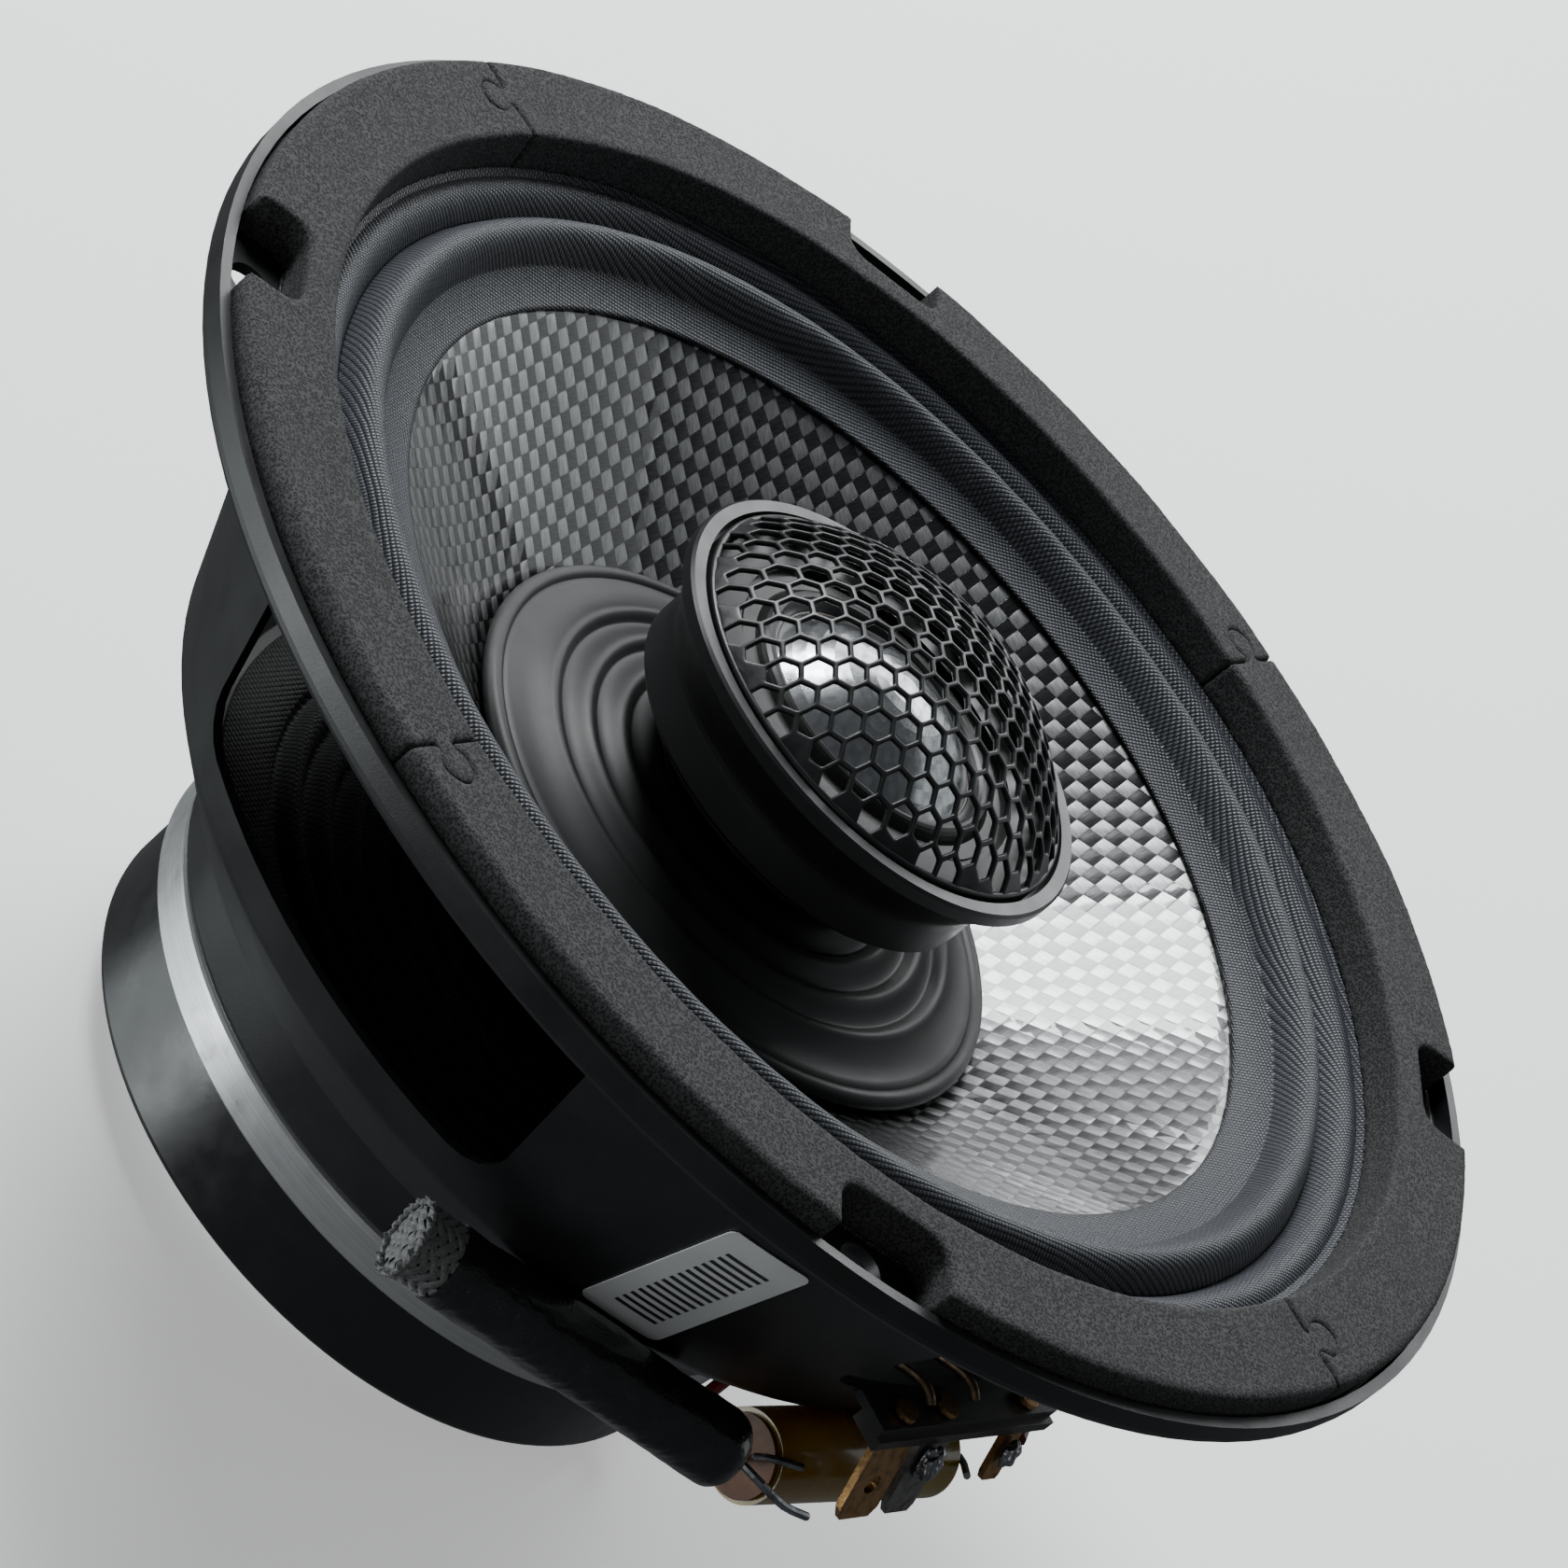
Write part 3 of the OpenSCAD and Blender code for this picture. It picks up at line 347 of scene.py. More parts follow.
def ferrite_paint():
    """Gloss black over sintered ferrite, with small chips."""
    black = (0.008, 0.008, 0.0085)
    m = Material("ferrite_paint", black, 0.3, Coat_Weight=0.3, Coat_Roughness=0.25)
    peel, specks = m.noise(0.9, 2), m.noise(1.6, 5, 0.75)
    m.set("Roughness", m.range(m.noise(0.3, 3), 0.3, 0.8, 0.25, 0.42))
    m.set("Base Color", m.blend(m.range(specks, 0.7, 0.72), black, (0.1, 0.07, 0.05)))
    m.set("Normal", m.bump(peel, 0.05, 0.3))
    return m


def grille_paint():
    """Thick satin-gloss paint over punched steel."""
    m = Material("grille_paint", (0.014, 0.0145, 0.015), 0.36, Specular_IOR_Level=0.5)
    fine, broad = m.noise(4, 3), m.noise(0.5, 3)
    m.set("Base Color", m.ramp(broad, (0.3, (0.011, 0.011, 0.0115)), (0.8, (0.02, 0.021, 0.022))))
    m.set("Roughness", m.range(m.math("MULTIPLY_ADD", fine, 0.3, broad), 0.35, 1.0, 0.32, 0.48))
    m.set("Normal", m.bump(fine, 0.015, 0.4, m.bump(broad, 0.08, 0.4)))
    return m


def zinc():
    """Turned and plated steel: fine circles round the axis, faint stains and a few scratches."""
    color, rough = (0.56, 0.57, 0.57), 0.32
    m = Material("zinc", color, rough, 0.7)
    rings = m.add("ShaderNodeCombineXYZ", {0: m.radius(), 2: m.axes()[2]}).outputs[0]
    lines = m.noise(9, 3, 0.6, rings)
    stains, scratches = m.noise(0.25, 4, 0.65), m.noise(1.0, 4, 0.6, m.stretched((0.2, 0.2, 4)))
    light = m.ramp(lines, (0.3, tuple(c * 0.72 for c in color)), (0.7, tuple(min(1, c * 1.2) for c in color)))
    rust = m.math("MULTIPLY", m.range(stains, 0.62, 0.78), 0.35)
    m.set("Base Color", m.blend(rust, light, (0.16, 0.12, 0.09)))
    worn = m.math("MULTIPLY_ADD", scratches, 0.4, stains)
    m.set("Roughness", m.range(worn, 0.4, 1.0, rough - 0.08, rough + 0.14))
    m.set("Normal", m.bump(lines, 0.01, 0.5))
    return m


def plated(name, color, rough, dirt=(0.08, 0.05, 0.03)):
    """A small tarnished metal part."""
    m = Material(name, color, rough, 1.0)
    stains, fine = m.noise(0.9, 4, 0.65), m.noise(5, 3)
    m.set("Base Color", m.blend(m.range(stains, 0.45, 0.72, 0.0, 0.7), color, dirt))
    worn = m.math("MULTIPLY_ADD", fine, 0.4, stains)
    m.set("Roughness", m.range(worn, 0.4, 1.0, rough - 0.08, rough + 0.2))
    m.set("Normal", m.bump(fine, 0.02, 0.4, m.bump(stains, 0.06, 0.4)))
    return m


def shrink_tube():
    m = Material("shrink_tube", (0.005, 0.005, 0.0055), 0.16, Coat_Weight=0.6, Coat_Roughness=0.05)
    creases, fine = m.noise(0.5, 4, 0.6, lumps=0.5), m.noise(2.5, 3, 0.6)
    m.set("Base Color", m.ramp(creases, (0.35, (0.004, 0.004, 0.0045)), (0.75, (0.011, 0.011, 0.012))))
    m.set("Roughness", m.range(creases, 0.3, 0.75, 0.08, 0.24))
    m.set("Normal", m.bump(fine, 0.14, 0.7, m.bump(creases, 0.2, 0.4)))
    return m


def glue_gloss():
    m = Material("glue_gloss", (0.004, 0.004, 0.0045), 0.08, Coat_Weight=1.0, Coat_Roughness=0.03)
    lumps = m.noise(0.7, 3)
    m.set("Base Color", m.ramp(lumps, (0.3, (0.003, 0.003, 0.003)), (0.8, (0.012, 0.012, 0.011))))
    m.set("Normal", m.bump(lumps, 0.3, 0.6))
    return m


def glass_braid():
    m = Material("glass_braid", (0.3, 0.3, 0.3), 0.5, Sheen_Weight=0.3)
    fibres = m.noise(5, 4, 0.7)
    m.set("Base Color", m.ramp(fibres, (0.3, (0.05, 0.05, 0.05)), (0.75, (0.27, 0.27, 0.265))))
    m.set("Normal", m.bump(fibres, 0.05, 0.7))
    return m


def film_wrap():
    m = Material("film_wrap", (0.55, 0.3, 0.01), 0.3,
                 Coat_Weight=0.6, Coat_Roughness=0.12, Subsurface_Weight=0.1)
    broad, creases = m.noise(0.15, 3), m.noise(0.5, 3, 0.6, m.stretched((1, 1, 5)))
    m.set("Base Color", m.ramp(broad, (0.3, (0.16, 0.095, 0.004)), (0.75, (0.32, 0.23, 0.01))))
    m.set("Roughness", m.range(creases, 0.3, 0.8, 0.22, 0.42))
    m.set("Normal", m.bump(creases, 0.08, 0.4))
    return m


def epoxy():
    m = Material("epoxy", (0.1, 0.035, 0.01), 0.45, Specular_IOR_Level=0.3)
    broad = m.noise(0.4, 4)
    m.set("Base Color", m.ramp(broad, (0.3, (0.06, 0.02, 0.006)), (0.8, (0.16, 0.06, 0.015))))
    m.set("Normal", m.bump(broad, 0.15, 0.4))
    return m


def laminate():
    m = Material("laminate", (0.03, 0.016, 0.01), 0.4)
    layers = m.noise(1, 3, 0.6, m.stretched((0.5, 0.5, 12)))
    m.set("Base Color", m.ramp(layers, (0.3, (0.008, 0.006, 0.005)), (0.75, (0.022, 0.015, 0.01))))
    m.set("Normal", m.bump(layers, 0.03, 0.5))
    return m


def paper():
    m = Material("paper", (0.75, 0.76, 0.75), 0.35, Coat_Weight=0.15)
    fibres, broad = m.noise(4, 4, 0.6), m.noise(0.2, 3)
    m.set("Base Color", m.ramp(broad, (0.3, (0.66, 0.68, 0.68)), (0.8, (0.8, 0.81, 0.8))))
    m.set("Normal", m.bump(fibres, 0.01, 0.4))
    return m


def printed_ink():
    m = Material("printed_ink", (0.02, 0.02, 0.02), 0.45)
    speckle = m.noise(6, 3, 0.7)
    m.set("Base Color", m.ramp(speckle, (0.35, (0.012, 0.012, 0.012)), (0.75, (0.05, 0.05, 0.05))))
    return m


def dome_film():
    m = Material("dome_film", (0.5, 0.52, 0.55), 0.2, 1.0)
    fine, broad = m.noise(2, 3), m.noise(0.3, 2)
    m.set("Base Color", m.ramp(broad, (0.3, (0.56, 0.58, 0.6)), (0.8, (0.62, 0.64, 0.66))))
    m.set("Roughness", m.range(fine, 0.3, 0.8, 0.19, 0.25))
    m.set("Normal", m.bump(fine, 0.004, 0.3))
    return m


def insulation(name, color):
    m = Material(name, color, 0.35)
    broad = m.noise(0.6, 3)
    dim = tuple(c * 0.6 for c in color)
    m.set("Base Color", m.ramp(broad, (0.3, dim), (0.8, color)))
    m.set("Normal", m.bump(m.noise(3, 2), 0.02, 0.4))
    return m


# ---- shapes ----

def arc(x, z, r, start, end, n):
    steps = (math.radians(start + (end - start) * i / n) for i in range(n + 1))
    return [(x + r * math.cos(a), z + r * math.sin(a)) for a in steps]


def roll(r0, z0, r1, z1, h, n):
    """Half a wave from (r0, z0) to (r1, z1), h high."""
    shares = (i / n for i in range(n + 1))
    return [(r0 + (r1 - r0) * t, z0 + (z1 - z0) * t + h * math.sin(math.pi * t)) for t in shares]


def smooth(points, per_mm=2.0):
    """Points of a Catmull-Rom curve through these, about per_mm to the millimetre."""
    out = []
    p = [np.array(q, float) for q in points]
    for i in range(len(p) - 1):
        a, b, c, d = p[max(i - 1, 0)], p[i], p[i + 1], p[min(i + 2, len(p) - 1)]
        n = max(2, int(np.linalg.norm(c - b) * per_mm))
        for k in range(n):
            t = k / n
            square, cube = 2 * a - 5 * b + 4 * c - d, 3 * b - a - 3 * c + d
            out.append((2 * b + (c - a) * t + square * t ** 2 + cube * t ** 3) / 2)
    return [tuple(q) for q in out] + [tuple(p[-1])]


def band(path, d0, d1):
    """The closed outline of a sheet between two sideways shifts of a path."""
    p = np.array(path, float)
    step = np.diff(p, axis=0)
    left = np.stack([-step[:, 1], step[:, 0]], 1) / np.linalg.norm(step, axis=1)[:, None]
    mitres = (left[1:] + left[:-1]) / (1 + (left[1:] * left[:-1]).sum(1))[:, None]
    n = np.vstack([left[:1], mitres, left[-1:]])
    return [tuple(q) for q in p + n * d0] + [tuple(q) for q in (p + n * d1)[::-1]]


def make(name, points, faces, material, body, replaced=(), slot=None, sharp=40):
    """A smooth-shaded piece from points in millimetres, riding on a CAD body and standing for CAD nodes."""
    mesh = bpy.data.meshes.new(name)
    mesh.from_pydata((np.asarray(points, float) * MM).tolist(), [], faces)
    bm = bmesh.new()
    bm.from_mesh(mesh)
    bmesh.ops.recalc_face_normals(bm, faces=bm.faces)
    bm.to_mesh(mesh)
    bm.free()
    mesh.shade_smooth()
    if sharp:
        mesh.set_sharp_from_angle(angle=math.radians(sharp))
    mesh.materials.append(material.data)
    piece = bpy.data.objects.new(name, mesh)
    bpy.context.scene.collection.objects.link(piece)
    if body:
        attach(piece, body)
    if replaced:
        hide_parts(*replaced)
    return piece


def lathe(name, outline, material, body, replaced=(), slot=None, steps=288, shape=None, sharp=40):
    """A closed outline of (radius, z) turned round the axis. shape(radius, angle, z) may move a point."""
    points, n = [], len(outline)
    for i in range(steps):
        a = 2 * math.pi * i / steps
        for r, z in outline:
            if shape:
                r, z = shape(r, a, z)
            points.append((r * math.cos(a), r * math.sin(a), z))
    faces = [(i * n + j, i * n + (j + 1) % n, (i + 1) % steps * n + (j + 1) % n, (i + 1) % steps * n + j)
             for i in range(steps) for j in range(n)]
    return make(name, points, faces, material, body, replaced, slot, sharp)


def tube(points, radius, sides=12, closed_ends=True, squeeze=None):
    """Points and faces of a wire swept along points. squeeze(share along, angle) scales its radius."""
    p = [Vector(q) for q in points]
    out, faces, side = [], [], None
    for i, q in enumerate(p):
        t = (p[min(i + 1, len(p) - 1)] - p[max(i - 1, 0)]).normalized()
        side = t.orthogonal() if side is None else side - t * side.dot(t)
        side.normalize()
        up = t.cross(side)
        for k in range(sides):
            a = 2 * math.pi * k / sides
            r = radius * (squeeze(i / (len(p) - 1), a) if squeeze else 1)
            out.append(q + (side * math.cos(a) + up * math.sin(a)) * r)
    for i in range(len(p) - 1):
        for k in range(sides):
            m = (k + 1) % sides
            faces.append((i * sides + k, i * sides + m, (i + 1) * sides + m, (i + 1) * sides + k))
    if closed_ends:
        faces += [tuple(range(sides))[::-1], tuple((len(p) - 1) * sides + k for k in range(sides))]
    return [tuple(q) for q in out], faces


def joined(parts):
    """Several (points, faces) as one."""
    points, faces = [], []
    for p, f in parts:
        faces += [tuple(i + len(points) for i in face) for face in f]
        points += list(p)
    return points, faces


def at(radius, angle, z):
    """The frame on the speaker's outside: X outwards, Y along the tangent, Z up, in millimetres."""
    return Matrix.Rotation(math.radians(angle), 4, "Z") @ Matrix.Translation((radius, 0, z))


def moved(matrix, points):
    return [tuple(matrix @ Vector(q)) for q in points]


def radial_blend(piece):
    """For what joins two bodies: bakes its placing into its mesh."""
    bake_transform(piece)


def paint(node, material, bevel=0.0):
    """A CAD node that keeps its shape gets a material, and its edges a fine round."""
    piece = NODES[node]
    piece.data.materials.clear()
    piece.data.materials.append(material.data)
    piece.data.polygons.foreach_set("material_index", [0] * len(piece.data.polygons))
    if bevel:
        m = piece.modifiers.new("edges", "BEVEL")
        m.width, m.segments, m.limit_method, m.angle_limit = bevel * MM, 2, "ANGLE", math.radians(40)
        m.harden_normals = True


add_studio()

POWDER = powder_coat()
FOAM = foam()
SURROUND = surround_cloth()
SPIDER = spider_cloth()
CONE = woven_cone()
RUBBER = rubber()
HOUSING = moulding("housing_plastic", 0.34)
POST = moulding("post_plastic", 0.3)
GRILLE = grille_paint()
FERRITE = ferrite_paint()
ZINC = zinc()
BRASS = plated("terminal_brass", (0.5, 0.29, 0.12), 0.26, (0.035, 0.02, 0.01))
TIN = plated("terminal_tin", (0.26, 0.25, 0.24), 0.34, (0.03, 0.022, 0.015))
SOLDER = plated("solder", (0.3, 0.31, 0.33), 0.28, (0.04, 0.035, 0.03))
STEEL = plated("rivet_steel", (0.5, 0.5, 0.5), 0.35)
SHRINK = shrink_tube()
GLUE = glue_gloss()
BRAID = glass_braid()
FILM = film_wrap()
EPOXY = epoxy()
LAMINATE = laminate()
PAPER = paper()
INK = printed_ink()
DOME = dome_film()
TINSEL = plated("tinsel", (0.22, 0.16, 0.1), 0.45, (0.03, 0.02, 0.015))
RED_WIRE = insulation("red_wire", (0.2, 0.012, 0.01))
FELT = insulation("felt", (0.012, 0.012, 0.012))
COPPER = plated("copper_wire", (0.6, 0.25, 0.1), 0.3)
KAPTON = insulation("former_film", (0.06, 0.025, 0.008))


# ---- foam gasket ----

def foam_segment(i):
    """The CAD segment remeshed finely, with a skin of small pits and softly crushed edges."""
    node = f"gasket_segment_{i}"
    piece = bpy.data.objects.new(f"foam_{i}", NODES[node].data.copy())
    bpy.context.scene.collection.objects.link(piece)
    remesh = piece.modifiers.new("remesh", "REMESH")
    remesh.mode, remesh.voxel_size = "VOXEL", 0.42 * MM
    evaluated = piece.evaluated_get(bpy.context.evaluated_depsgraph_get())
    mesh = bpy.data.meshes.new_from_object(evaluated)
    piece.modifiers.clear()
    piece.data = mesh
    top_z = top(node).z
    co, normals = np.empty(len(mesh.vertices) * 3), np.empty(len(mesh.vertices) * 3)
    mesh.vertices.foreach_get("co", co)
    mesh.vertex_normals.foreach_get("vector", normals)
    co, normals = co.reshape(-1, 3), normals.reshape(-1, 3)
    pits, swells = np.empty(len(co)), np.empty(len(co))
    for k, place in enumerate(co / MM):
        q = Vector(place)
        pits[k] = noise.noise(q * 1.9) + 0.6 * noise.noise(q * 3.7 + Vector((9, 0, 0)))
        swells[k] = noise.noise(q * 0.12 + Vector((0, 7, 0))) if q.z > top_z - 1 else 0
    co += normals * pits[:, None] * 0.045 * MM
    co[:, 2] += 0.12 * swells * MM
    mesh.vertices.foreach_set("co", co.ravel())
    mesh.update()
    mesh.shade_smooth()
    mesh.materials.clear()
    mesh.materials.append(FOAM.data)
    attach(piece, "frame")
    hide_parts(node)


for i in range(1, 5):
    foam_segment(i)


# ---- CAD nodes that keep their shape ----

for names, material, bevel in (
    (("basket",), POWDER, 0.15),
    (("top_plate", "t_yoke", "tweeter_yoke", "tweeter_plate"), ZINC, 0.1),
    (("ferrite_magnet", "choke_core"), FERRITE, 0),
    (("plate_rivets", "post_screw", "shorting_ring", "tweeter_magnet"), STEEL, 0.1),
    (("tweeter_post",), POST, 0.2),
    (("coil_former", "tweeter_former"), KAPTON, 0),
    (("coil_winding", "tweeter_winding"), COPPER, 0),
    (("tweeter_face_ring", "tweeter_surround", "grille_pad"), FELT, 0),
    (("terminal_strip",), LAMINATE, 0.1),
    (("positive_terminal", "spare_terminal", "strip_rivets"), BRASS, 0.12),
    (("negative_terminal",), TIN, 0.12),
    (("tweeter_housing",), HOUSING, 0.1),
    (("tweeter_dome",), DOME, 0),
    (("capacitor_leads", "choke_lead"), SOLDER, 0),
    (("capacitor",), FILM, 0.3),
    (("capacitor_ends",), EPOXY, 0.2),
    (("tweeter_leads",), RED_WIRE, 0),
    (("glue_bead",), GLUE, 0),
    (("label",), PAPER, 0),
):
    for node in names:
        paint(node, material, bevel)


# ---- surround, spider, cone and boot ----

CONE_R, CONE_Z, SLOPE = 55.4, -3.1, 0.716  # the cone's outer edge and its fall for each mm inwards
NECK_R = top("coil_former").x


def cone_z(r):
    return CONE_Z - SLOPE * (CONE_R - r)


def ripple(amount, scale=0.2):
    """A point's small random shift, in millimetres."""
    def shape(r, a, z):
        q = Vector((r * math.cos(a), r * math.sin(a), z)) * scale
        return r + amount * noise.noise(q), z + amount * noise.noise(q + Vector((5, 5, 5)))
    return shape


RIM_RISE = 0.28  # the cone's glued rim rises this much for each mm outwards
cloth = 0.225  # half the surround's thickness
land = CONE_Z + 0.15 + cloth + 0.05  # the middle of the cloth where it meets the cone
valley = -1.2  # between the big roll and the small one
surround_path = (
    [(CONE_R + 0.05, land - 0.06), (CONE_R + 0.5, land + 0.12)]
    + roll(60.0, land + RIM_RISE * 4.6, 65.6, valley, 3.2, 28)
    + roll(65.8, valley, 69.8, 0.9, 1.4, 20)
    + [(70.4, 1.425), (75, 1.425)]
)
surround = lathe("surround_roll", band(surround_path, -cloth, cloth), SURROUND, None,
                 ["surround"], "surround_cloth", steps=480, shape=ripple(0.05, 0.35), sharp=0)
radial_blend(surround)

spider_mid = low("spider").z + 1.15
spider_path = (
    [(NECK_R + 0.4, spider_mid + 1.3), (NECK_R + 1.2, spider_mid)]
    + [(21.05 + 19.35 * i / 80, spider_mid + math.sin(math.pi * i / 8)) for i in range(81)]
    + [(41.4, spider_mid), (46.4, spider_mid)]
)
spider = lathe("spider_disc", band(spider_path, -0.25, 0.25), SPIDER, None,
               ["spider"], "spider_cloth", steps=240, sharp=0)
radial_blend(spider)

cone_path = [(r, cone_z(r)) for r in (NECK_R + (CONE_R - NECK_R) * i / 40 for i in range(41))]
cone_path += [(CONE_R + 0.2, CONE_Z + 0.07), (CONE_R + 4.2, CONE_Z + RIM_RISE * 4.2)]
lathe("woven_cone", band(cone_path, -0.7, 0), CONE, "cone_assembly", ["cone"], "woven_cone", steps=360,
      shape=ripple(0.03, 0.08))


def add_tinsel():
    """Braided leads from the rivets to the back of the cone."""
    inner = cone_z(27.05)
    route = [(62.48, -25.4), (59.88, -25.0), (52.88, -28.4), (42.88, -31.2),
             (30.05, inner - 6.2), (27.05, inner - 1.7)]
    leads = []
    for y in (-7, 0.6):
        line = smooth([(x, y, z) for x, z in route])
        points, faces = tube(line, 0.52, 12, True, lambda t, a: 1 + 0.07 * math.sin(4 * a + 260 * t))
        leads.append((moved(Matrix.Rotation(math.radians(-6.5), 4, "Z"), points), faces))
    piece = make("tinsel_braid", *joined(leads), TINSEL, None, ["tinsel_leads"], "tinsel", sharp=0)
    radial_blend(piece)


add_tinsel()


def rib(t):
    """A rib's height: a slow rise outwards from a sharp crease, a round crest and a long fall."""
    return math.sin(math.pi * (1 - t) ** 1.6) ** 1.3


boot_r = top("dust_boot").x + 0.05
boot_top = cone_z(boot_r) + 2.2


def boot_z(r):
    return boot_top - 0.5 + 0.155 * (boot_r - r)


ribs = [(13 + i / 8, boot_z(13 + i / 8) + rib((i % 32) / 32)) for i in range(113)]
boot_outline = (
    [(12.5, boot_z(12.5) - 1.2), (12.5, boot_z(12.5) - 0.15), (12.65, boot_z(12.65))]
    + ribs
    + [(28.5, boot_z(28.5)), (boot_r - 2.8, boot_z(boot_r - 2.8)),
       (boot_r - 2.2, boot_z(boot_r - 2.2) + 0.1)]
    + arc(boot_r - 1.05, boot_top - 1.0, 1.05, 140, -60, 14)
    + [(boot_r - 1.4, boot_top - 2.1), (boot_r - 2.6, boot_top - 2.5),
       (boot_r - 3.0, cone_z(boot_r - 3.0) + 0.4), (boot_r - 2.6, cone_z(boot_r - 2.6)),
       (boot_r - 4.5, cone_z(boot_r - 4.5)), (boot_r - 4.5, boot_z(boot_r - 4.5) - 1.2)]
)
lathe("ribbed_boot", boot_outline, RUBBER, "cone_assembly", ["dust_boot"], "boot_rubber", steps=320,
      shape=ripple(0.03, 0.15), sharp=50)


# ---- tweeter grille ----

HEX_PITCH, HEX_BAR, GRILLE_T = 2.9, 0.52, 0.8
grille_r, grille_top = top("tweeter_grille").x, top("tweeter_grille").z
grille_foot = low("tweeter_grille").z
rim_z = top("tweeter_housing").z
grille_rise = grille_top - rim_z
ball = (grille_r ** 2 + grille_rise ** 2) / (2 * grille_rise)  # the domed sheet's radius


def hexagon():
    """A unit cell's outline, with each side cut near its ends so that rounding keeps the corners."""
    angles = (math.radians(30 + 60 * k) for k in range(6))
    corners = [Vector((math.cos(a), math.sin(a))) / math.sqrt(3) for a in angles]
    return [tuple(corners[k].lerp(corners[(k + 1) % 6], t)) for k in range(6) for t in (0, 0.22, 0.78)]


HEXAGON = hexagon()


def grille_cells():
    """Hexagons that share their corners: one with a hole is a ring of quads, the outermost are whole."""
    points, faces, found = [], [], {}

    def point(x, y):
        r = math.hypot(x, y)
        if r > grille_r - 0.25:
            x, y = x * (grille_r - 0.25) / r, y * (grille_r - 0.25) / r
        key = (round(x, 3), round(y, 3))
        if key not in found:
            found[key] = len(points)
            points.append((x, y, 0))
        return found[key]

    reach = int(grille_r / HEX_PITCH) + 2
    for i in range(-reach, reach + 1):
        for j in range(-reach, reach + 1):
            x, y = HEX_PITCH * (i + j / 2), HEX_PITCH * j * math.sqrt(3) / 2
            r = math.hypot(x, y)
            if r > grille_r + 1.0:
                continue
            outer = [point(x + HEX_PITCH * u, y + HEX_PITCH * v) for u, v in HEXAGON]
            if r < grille_r - 0.6 and len(set(outer)) == len(outer):
                hole = HEX_PITCH - HEX_BAR
                inner = [point(x + hole * u, y + hole * v) for u, v in HEXAGON]
                n = len(outer)
                faces += [(outer[k], outer[(k + 1) % n], inner[(k + 1) % n], inner[k]) for k in range(n)]
            elif len(set(outer)) > 2:
                faces.append(tuple(dict.fromkeys(outer)))
    return points, faces


def add_grille():
    """The sheet of cells laid on the ball, given its thickness and rounded bars, and its collar."""
    points, faces = grille_cells()
    centre = grille_top - ball - GRILLE_T / 2
    points = [(x, y, centre + math.sqrt(ball ** 2 - x * x - y * y)) for x, y, _ in points]
    mesh_piece = make("grille_mesh", points, faces, GRILLE, "frame",
                      ["tweeter_grille"], "grille_steel", sharp=0)
    thick = mesh_piece.modifiers.new("thick", "SOLIDIFY")
    thick.thickness, thick.offset = GRILLE_T * 0.8 * MM, 0
    rounded = mesh_piece.modifiers.new("rounded", "SUBSURF")
    rounded.levels = rounded.render_levels = 2
    collar = [(grille_r - 0.8, grille_foot), (grille_r, grille_foot), (grille_r, rim_z - 0.1)]
    collar += arc(grille_r - 0.4, rim_z, 0.4, 0, 180, 8) + [(grille_r - 0.8, rim_z - 0.1)]
    lathe("grille_collar", collar, GRILLE, "frame", slot="grille_steel", steps=240)


add_grille()


# ---- choke sleeve with its braid, and glue ----

SLEEVE = at(62.5, -47, -36) @ Matrix.Translation((0, 2, 0))
SLEEVE_R, SLEEVE_L = 4.3, 37.0
SEAM = math.radians(60)  # where the shrink tube's ragged line of glue runs, round the sleeve
BLUNT = 3.4  # the length over which the sleeve's shut end rounds off


def add_sleeve():
    def skin(t, a):
        """Wrinkles, a slack open end and a blunt shut end."""
        y = t * SLEEVE_L
        shut = max(0, (y - (SLEEVE_L - BLUNT)) / BLUNT)
        lump = noise.noise(Vector((math.cos(a) * 1.3, math.sin(a) * 1.3, y * 0.16)))
        crease = noise.noise(Vector((math.cos(a) * 3, math.sin(a) * 3, y * 0.55 + 4)))
        ragged = 0.35 * noise.noise(Vector((y * 0.9, 0, 9))) + 0.2 * noise.noise(Vector((y * 2.7, 0, 5)))
        seam = math.exp(-((((a - SEAM - ragged + math.pi) % (2 * math.pi)) - math.pi) / 0.16) ** 2)
        return math.sqrt(max(0.03, 1 - shut ** 2.4)) * (0.95 + 0.035 * lump + 0.018 * crease + 0.035 * seam)
    line = [(0, -SLEEVE_L / 2 + SLEEVE_L * i / 180, 0) for i in range(181)]
    points, faces = tube(line, SLEEVE_R, 96, True, skin)
    make("choke_sleeve", moved(SLEEVE, points), faces, SHRINK, "frame", ["shrink_sleeve"], "shrink_tube")


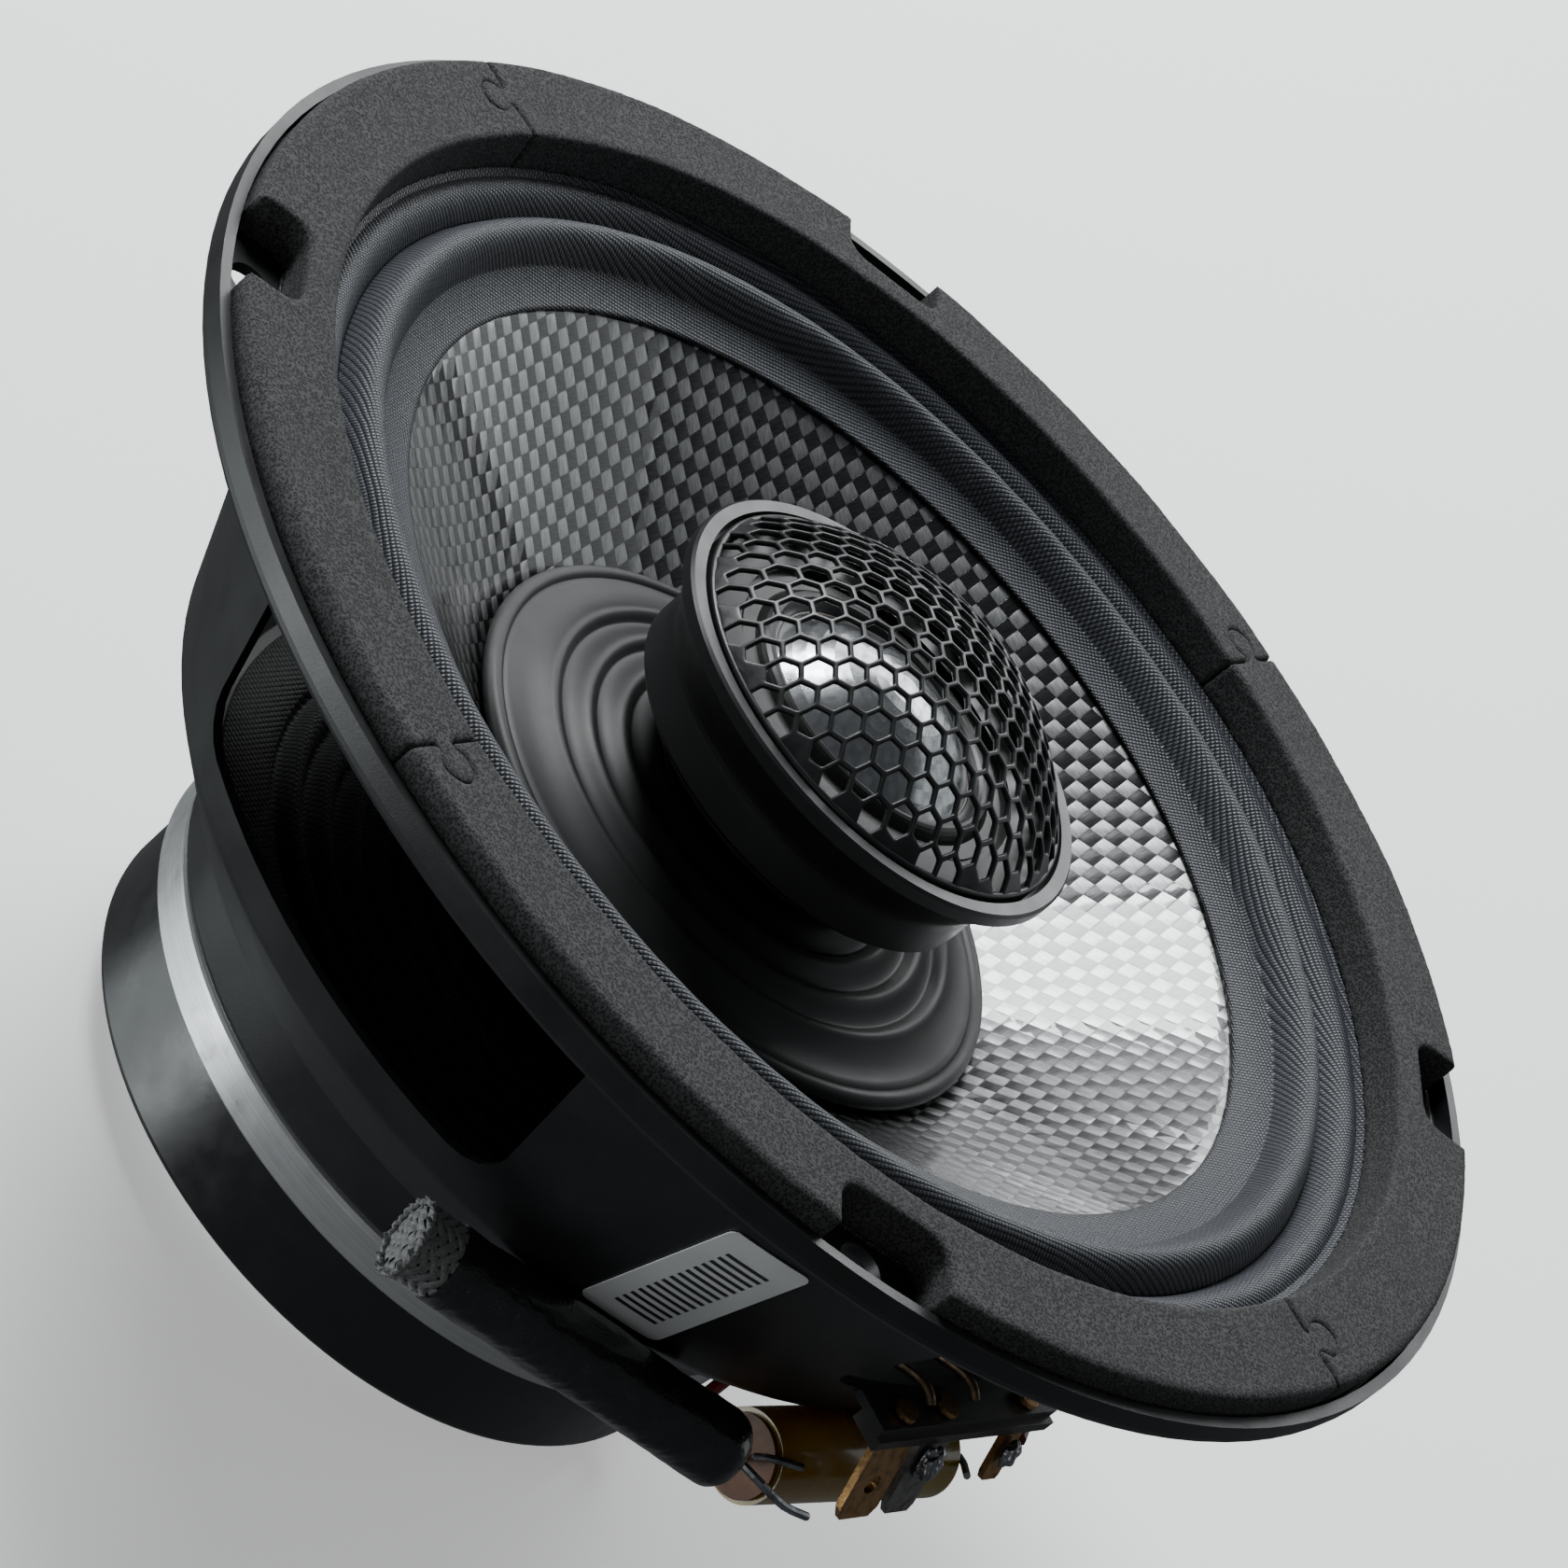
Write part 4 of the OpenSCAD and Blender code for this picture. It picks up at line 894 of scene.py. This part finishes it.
def add_braid():
    """Flat glass-fibre strands that wind both ways, flared at the open end, with a woven cap and a rim."""
    rng = random.Random(4)
    parts, strands, reach = [], 14, 4.6
    y0 = -SLEEVE_L / 2 - 4.4
    for way in (1, -1):
        for k in range(strands):
            ragged = rng.uniform(-0.35, 0.25)
            line = []
            for i in range(29):
                y = y0 + ragged + (reach + 1 - ragged) * i / 28
                a = 2 * math.pi * k / strands + way * (y - y0) * 0.36
                flare = 0.25 * max(0, 1 - (y - y0) / 2.5) ** 2
                over = 0.11 * way * math.cos(a * strands / 2)
                r = 3.72 + flare + over
                line.append((r * math.cos(a), y, r * math.sin(a)))
            parts.append(ribbon(line, 0.78, 0.26))
    points, faces = joined(parts)
    make("braid_strands", moved(SLEEVE, points), faces, BRAID, "frame",
         ["braided_sleeve"], "glass_braid", sharp=60)
    pitch, cap = 1.06, []  # the cap's strands cross at right angles, this far apart
    for way in (0, 1):
        for k in range(-3, 4):
            off = k * pitch
            half = math.sqrt(max(0.5, 3.75 ** 2 - off ** 2))
            strand = []
            for i in range(41):
                u = -half + 2 * half * i / 40
                over = 0.17 * math.cos(math.pi * (u / pitch + k + way))
                ruffle = 0.2 * noise.noise(Vector((u, off, way)) * 0.5)
                lift = 0.75 * (1 - (u * u + off ** 2) / 14.5) + ruffle
                y = y0 + 0.75 - lift + over
                strand.append((u, y, off) if way else (off, y, u))
            cap.append(ribbon(strand, 0.98, 0.24, Vector((0, -1, 0))))
    points, faces = joined(cap)
    make("braid_end", moved(SLEEVE, points), faces, BRAID, "frame", slot="glass_braid", sharp=60)
    line = []
    for i in range(97):
        a = 2 * math.pi * i / 96
        r = 3.9 + 0.12 * math.sin(a * strands) + 0.05 * noise.noise(Vector((math.cos(a), math.sin(a), 2)))
        line.append((r * math.cos(a), y0 + 0.2 + 0.14 * math.cos(a * strands * 2), r * math.sin(a)))
    points, faces = tube(line, 0.3, 8, False)
    make("braid_rim", moved(SLEEVE, points), faces, BRAID, "frame", slot="glass_braid")


def ribbon(line, width, thickness, facing=None):
    """A flat strand along points. Its flat side faces away from the sleeve's Y axis, or in a set direction."""
    points, faces = [], []
    for i, q in enumerate(line):
        q = Vector(q)
        t = (Vector(line[min(i + 1, len(line) - 1)]) - Vector(line[max(i - 1, 0)])).normalized()
        out = facing or Vector((q.x, 0, q.z)).normalized()
        side = t.cross(out).normalized()
        for w, h in ((-1, 0), (-0.6, 1), (0.6, 1), (1, 0), (0.6, -1), (-0.6, -1)):
            points.append(tuple(q + side * (w * width / 2) + out * (h * thickness / 2)))
    n = 6
    for i in range(len(line) - 1):
        here, ahead = i * n, (i + 1) * n
        faces += [(here + k, here + (k + 1) % n, ahead + (k + 1) % n, ahead + k) for k in range(n)]
    faces += [tuple(range(n))[::-1], tuple((len(line) - 1) * n + k for k in range(n))]
    return points, faces


add_sleeve()
add_braid()


# ---- solder and label print ----

def solder_lump(y, size, seed):
    """A lump of solder on the outside of a blade, just below its bend."""
    place = at(64.38, -6.5, low("terminal_strip").z) @ Matrix.Translation((0.3, y, 0))
    place = place @ Matrix.Rotation(math.radians(-22), 4, "Y") @ Matrix.Translation((0.25, 0, -2.5))
    bm = bmesh.new()
    bmesh.ops.create_icosphere(bm, subdivisions=5, radius=1)
    points = []
    for v in bm.verts:
        swell = 1 + 0.3 * noise.noise(v.co * 1.3 + Vector((seed, 0, 0))) + 0.1 * noise.noise(v.co * 3.5)
        x = max(v.co.x, -0.15) * 0.8
        points.append((x * swell * size, v.co.y * swell * size, v.co.z * 1.25 * swell * size))
    faces = [tuple(v.index for v in f.verts) for f in bm.faces]
    bm.free()
    return moved(place, points), faces


points, faces = joined([solder_lump(-3.4, 1.6, 3), solder_lump(10.6, 1.2, 8)])
make("solder_lumps", points, faces, SOLDER, "frame", ["solder_joints"], "solder", sharp=0)


FLANGE_WALL_R, WALL_TAPER, WALL_DEPTH = 72, 14, 34.5  # the basket's wall under the label


def label_bars(z_from, z_to, width, n):
    """A plain row of even bars across the label, just proud of its paper."""
    parts = []
    for i in range(n):
        z0 = z_from + (z_to - z_from) * i / n
        ring = []
        for z in (z0, z0 + 0.5):
            r = FLANGE_WALL_R + z * WALL_TAPER / WALL_DEPTH
            for k in range(7):
                a = math.radians(-45) + (k / 6 - 0.5) * width / r
                ring += [((r + h) * math.cos(a), (r + h) * math.sin(a), z) for h in (0.15, 0.185)]
        bar = [(2 * k, 2 * k + 2, 2 * k + 3, 2 * k + 1) for k in range(6)]
        bar += [tuple(j + 14 for j in q) for q in bar]
        for k in range(6):
            bar += [(2 * k + h, 2 * k + 2 + h, 2 * k + 16 + h, 2 * k + 14 + h) for h in (0, 1)]
        bar += [(0, 1, 15, 14), (12, 13, 27, 26)]
        parts.append((ring, bar))
    points, faces = joined(parts)
    make("label_bars", points, faces, INK, "frame", slot="label_paper", sharp=20)


label_bars(-30.4, -13.4, 5.0, 15)
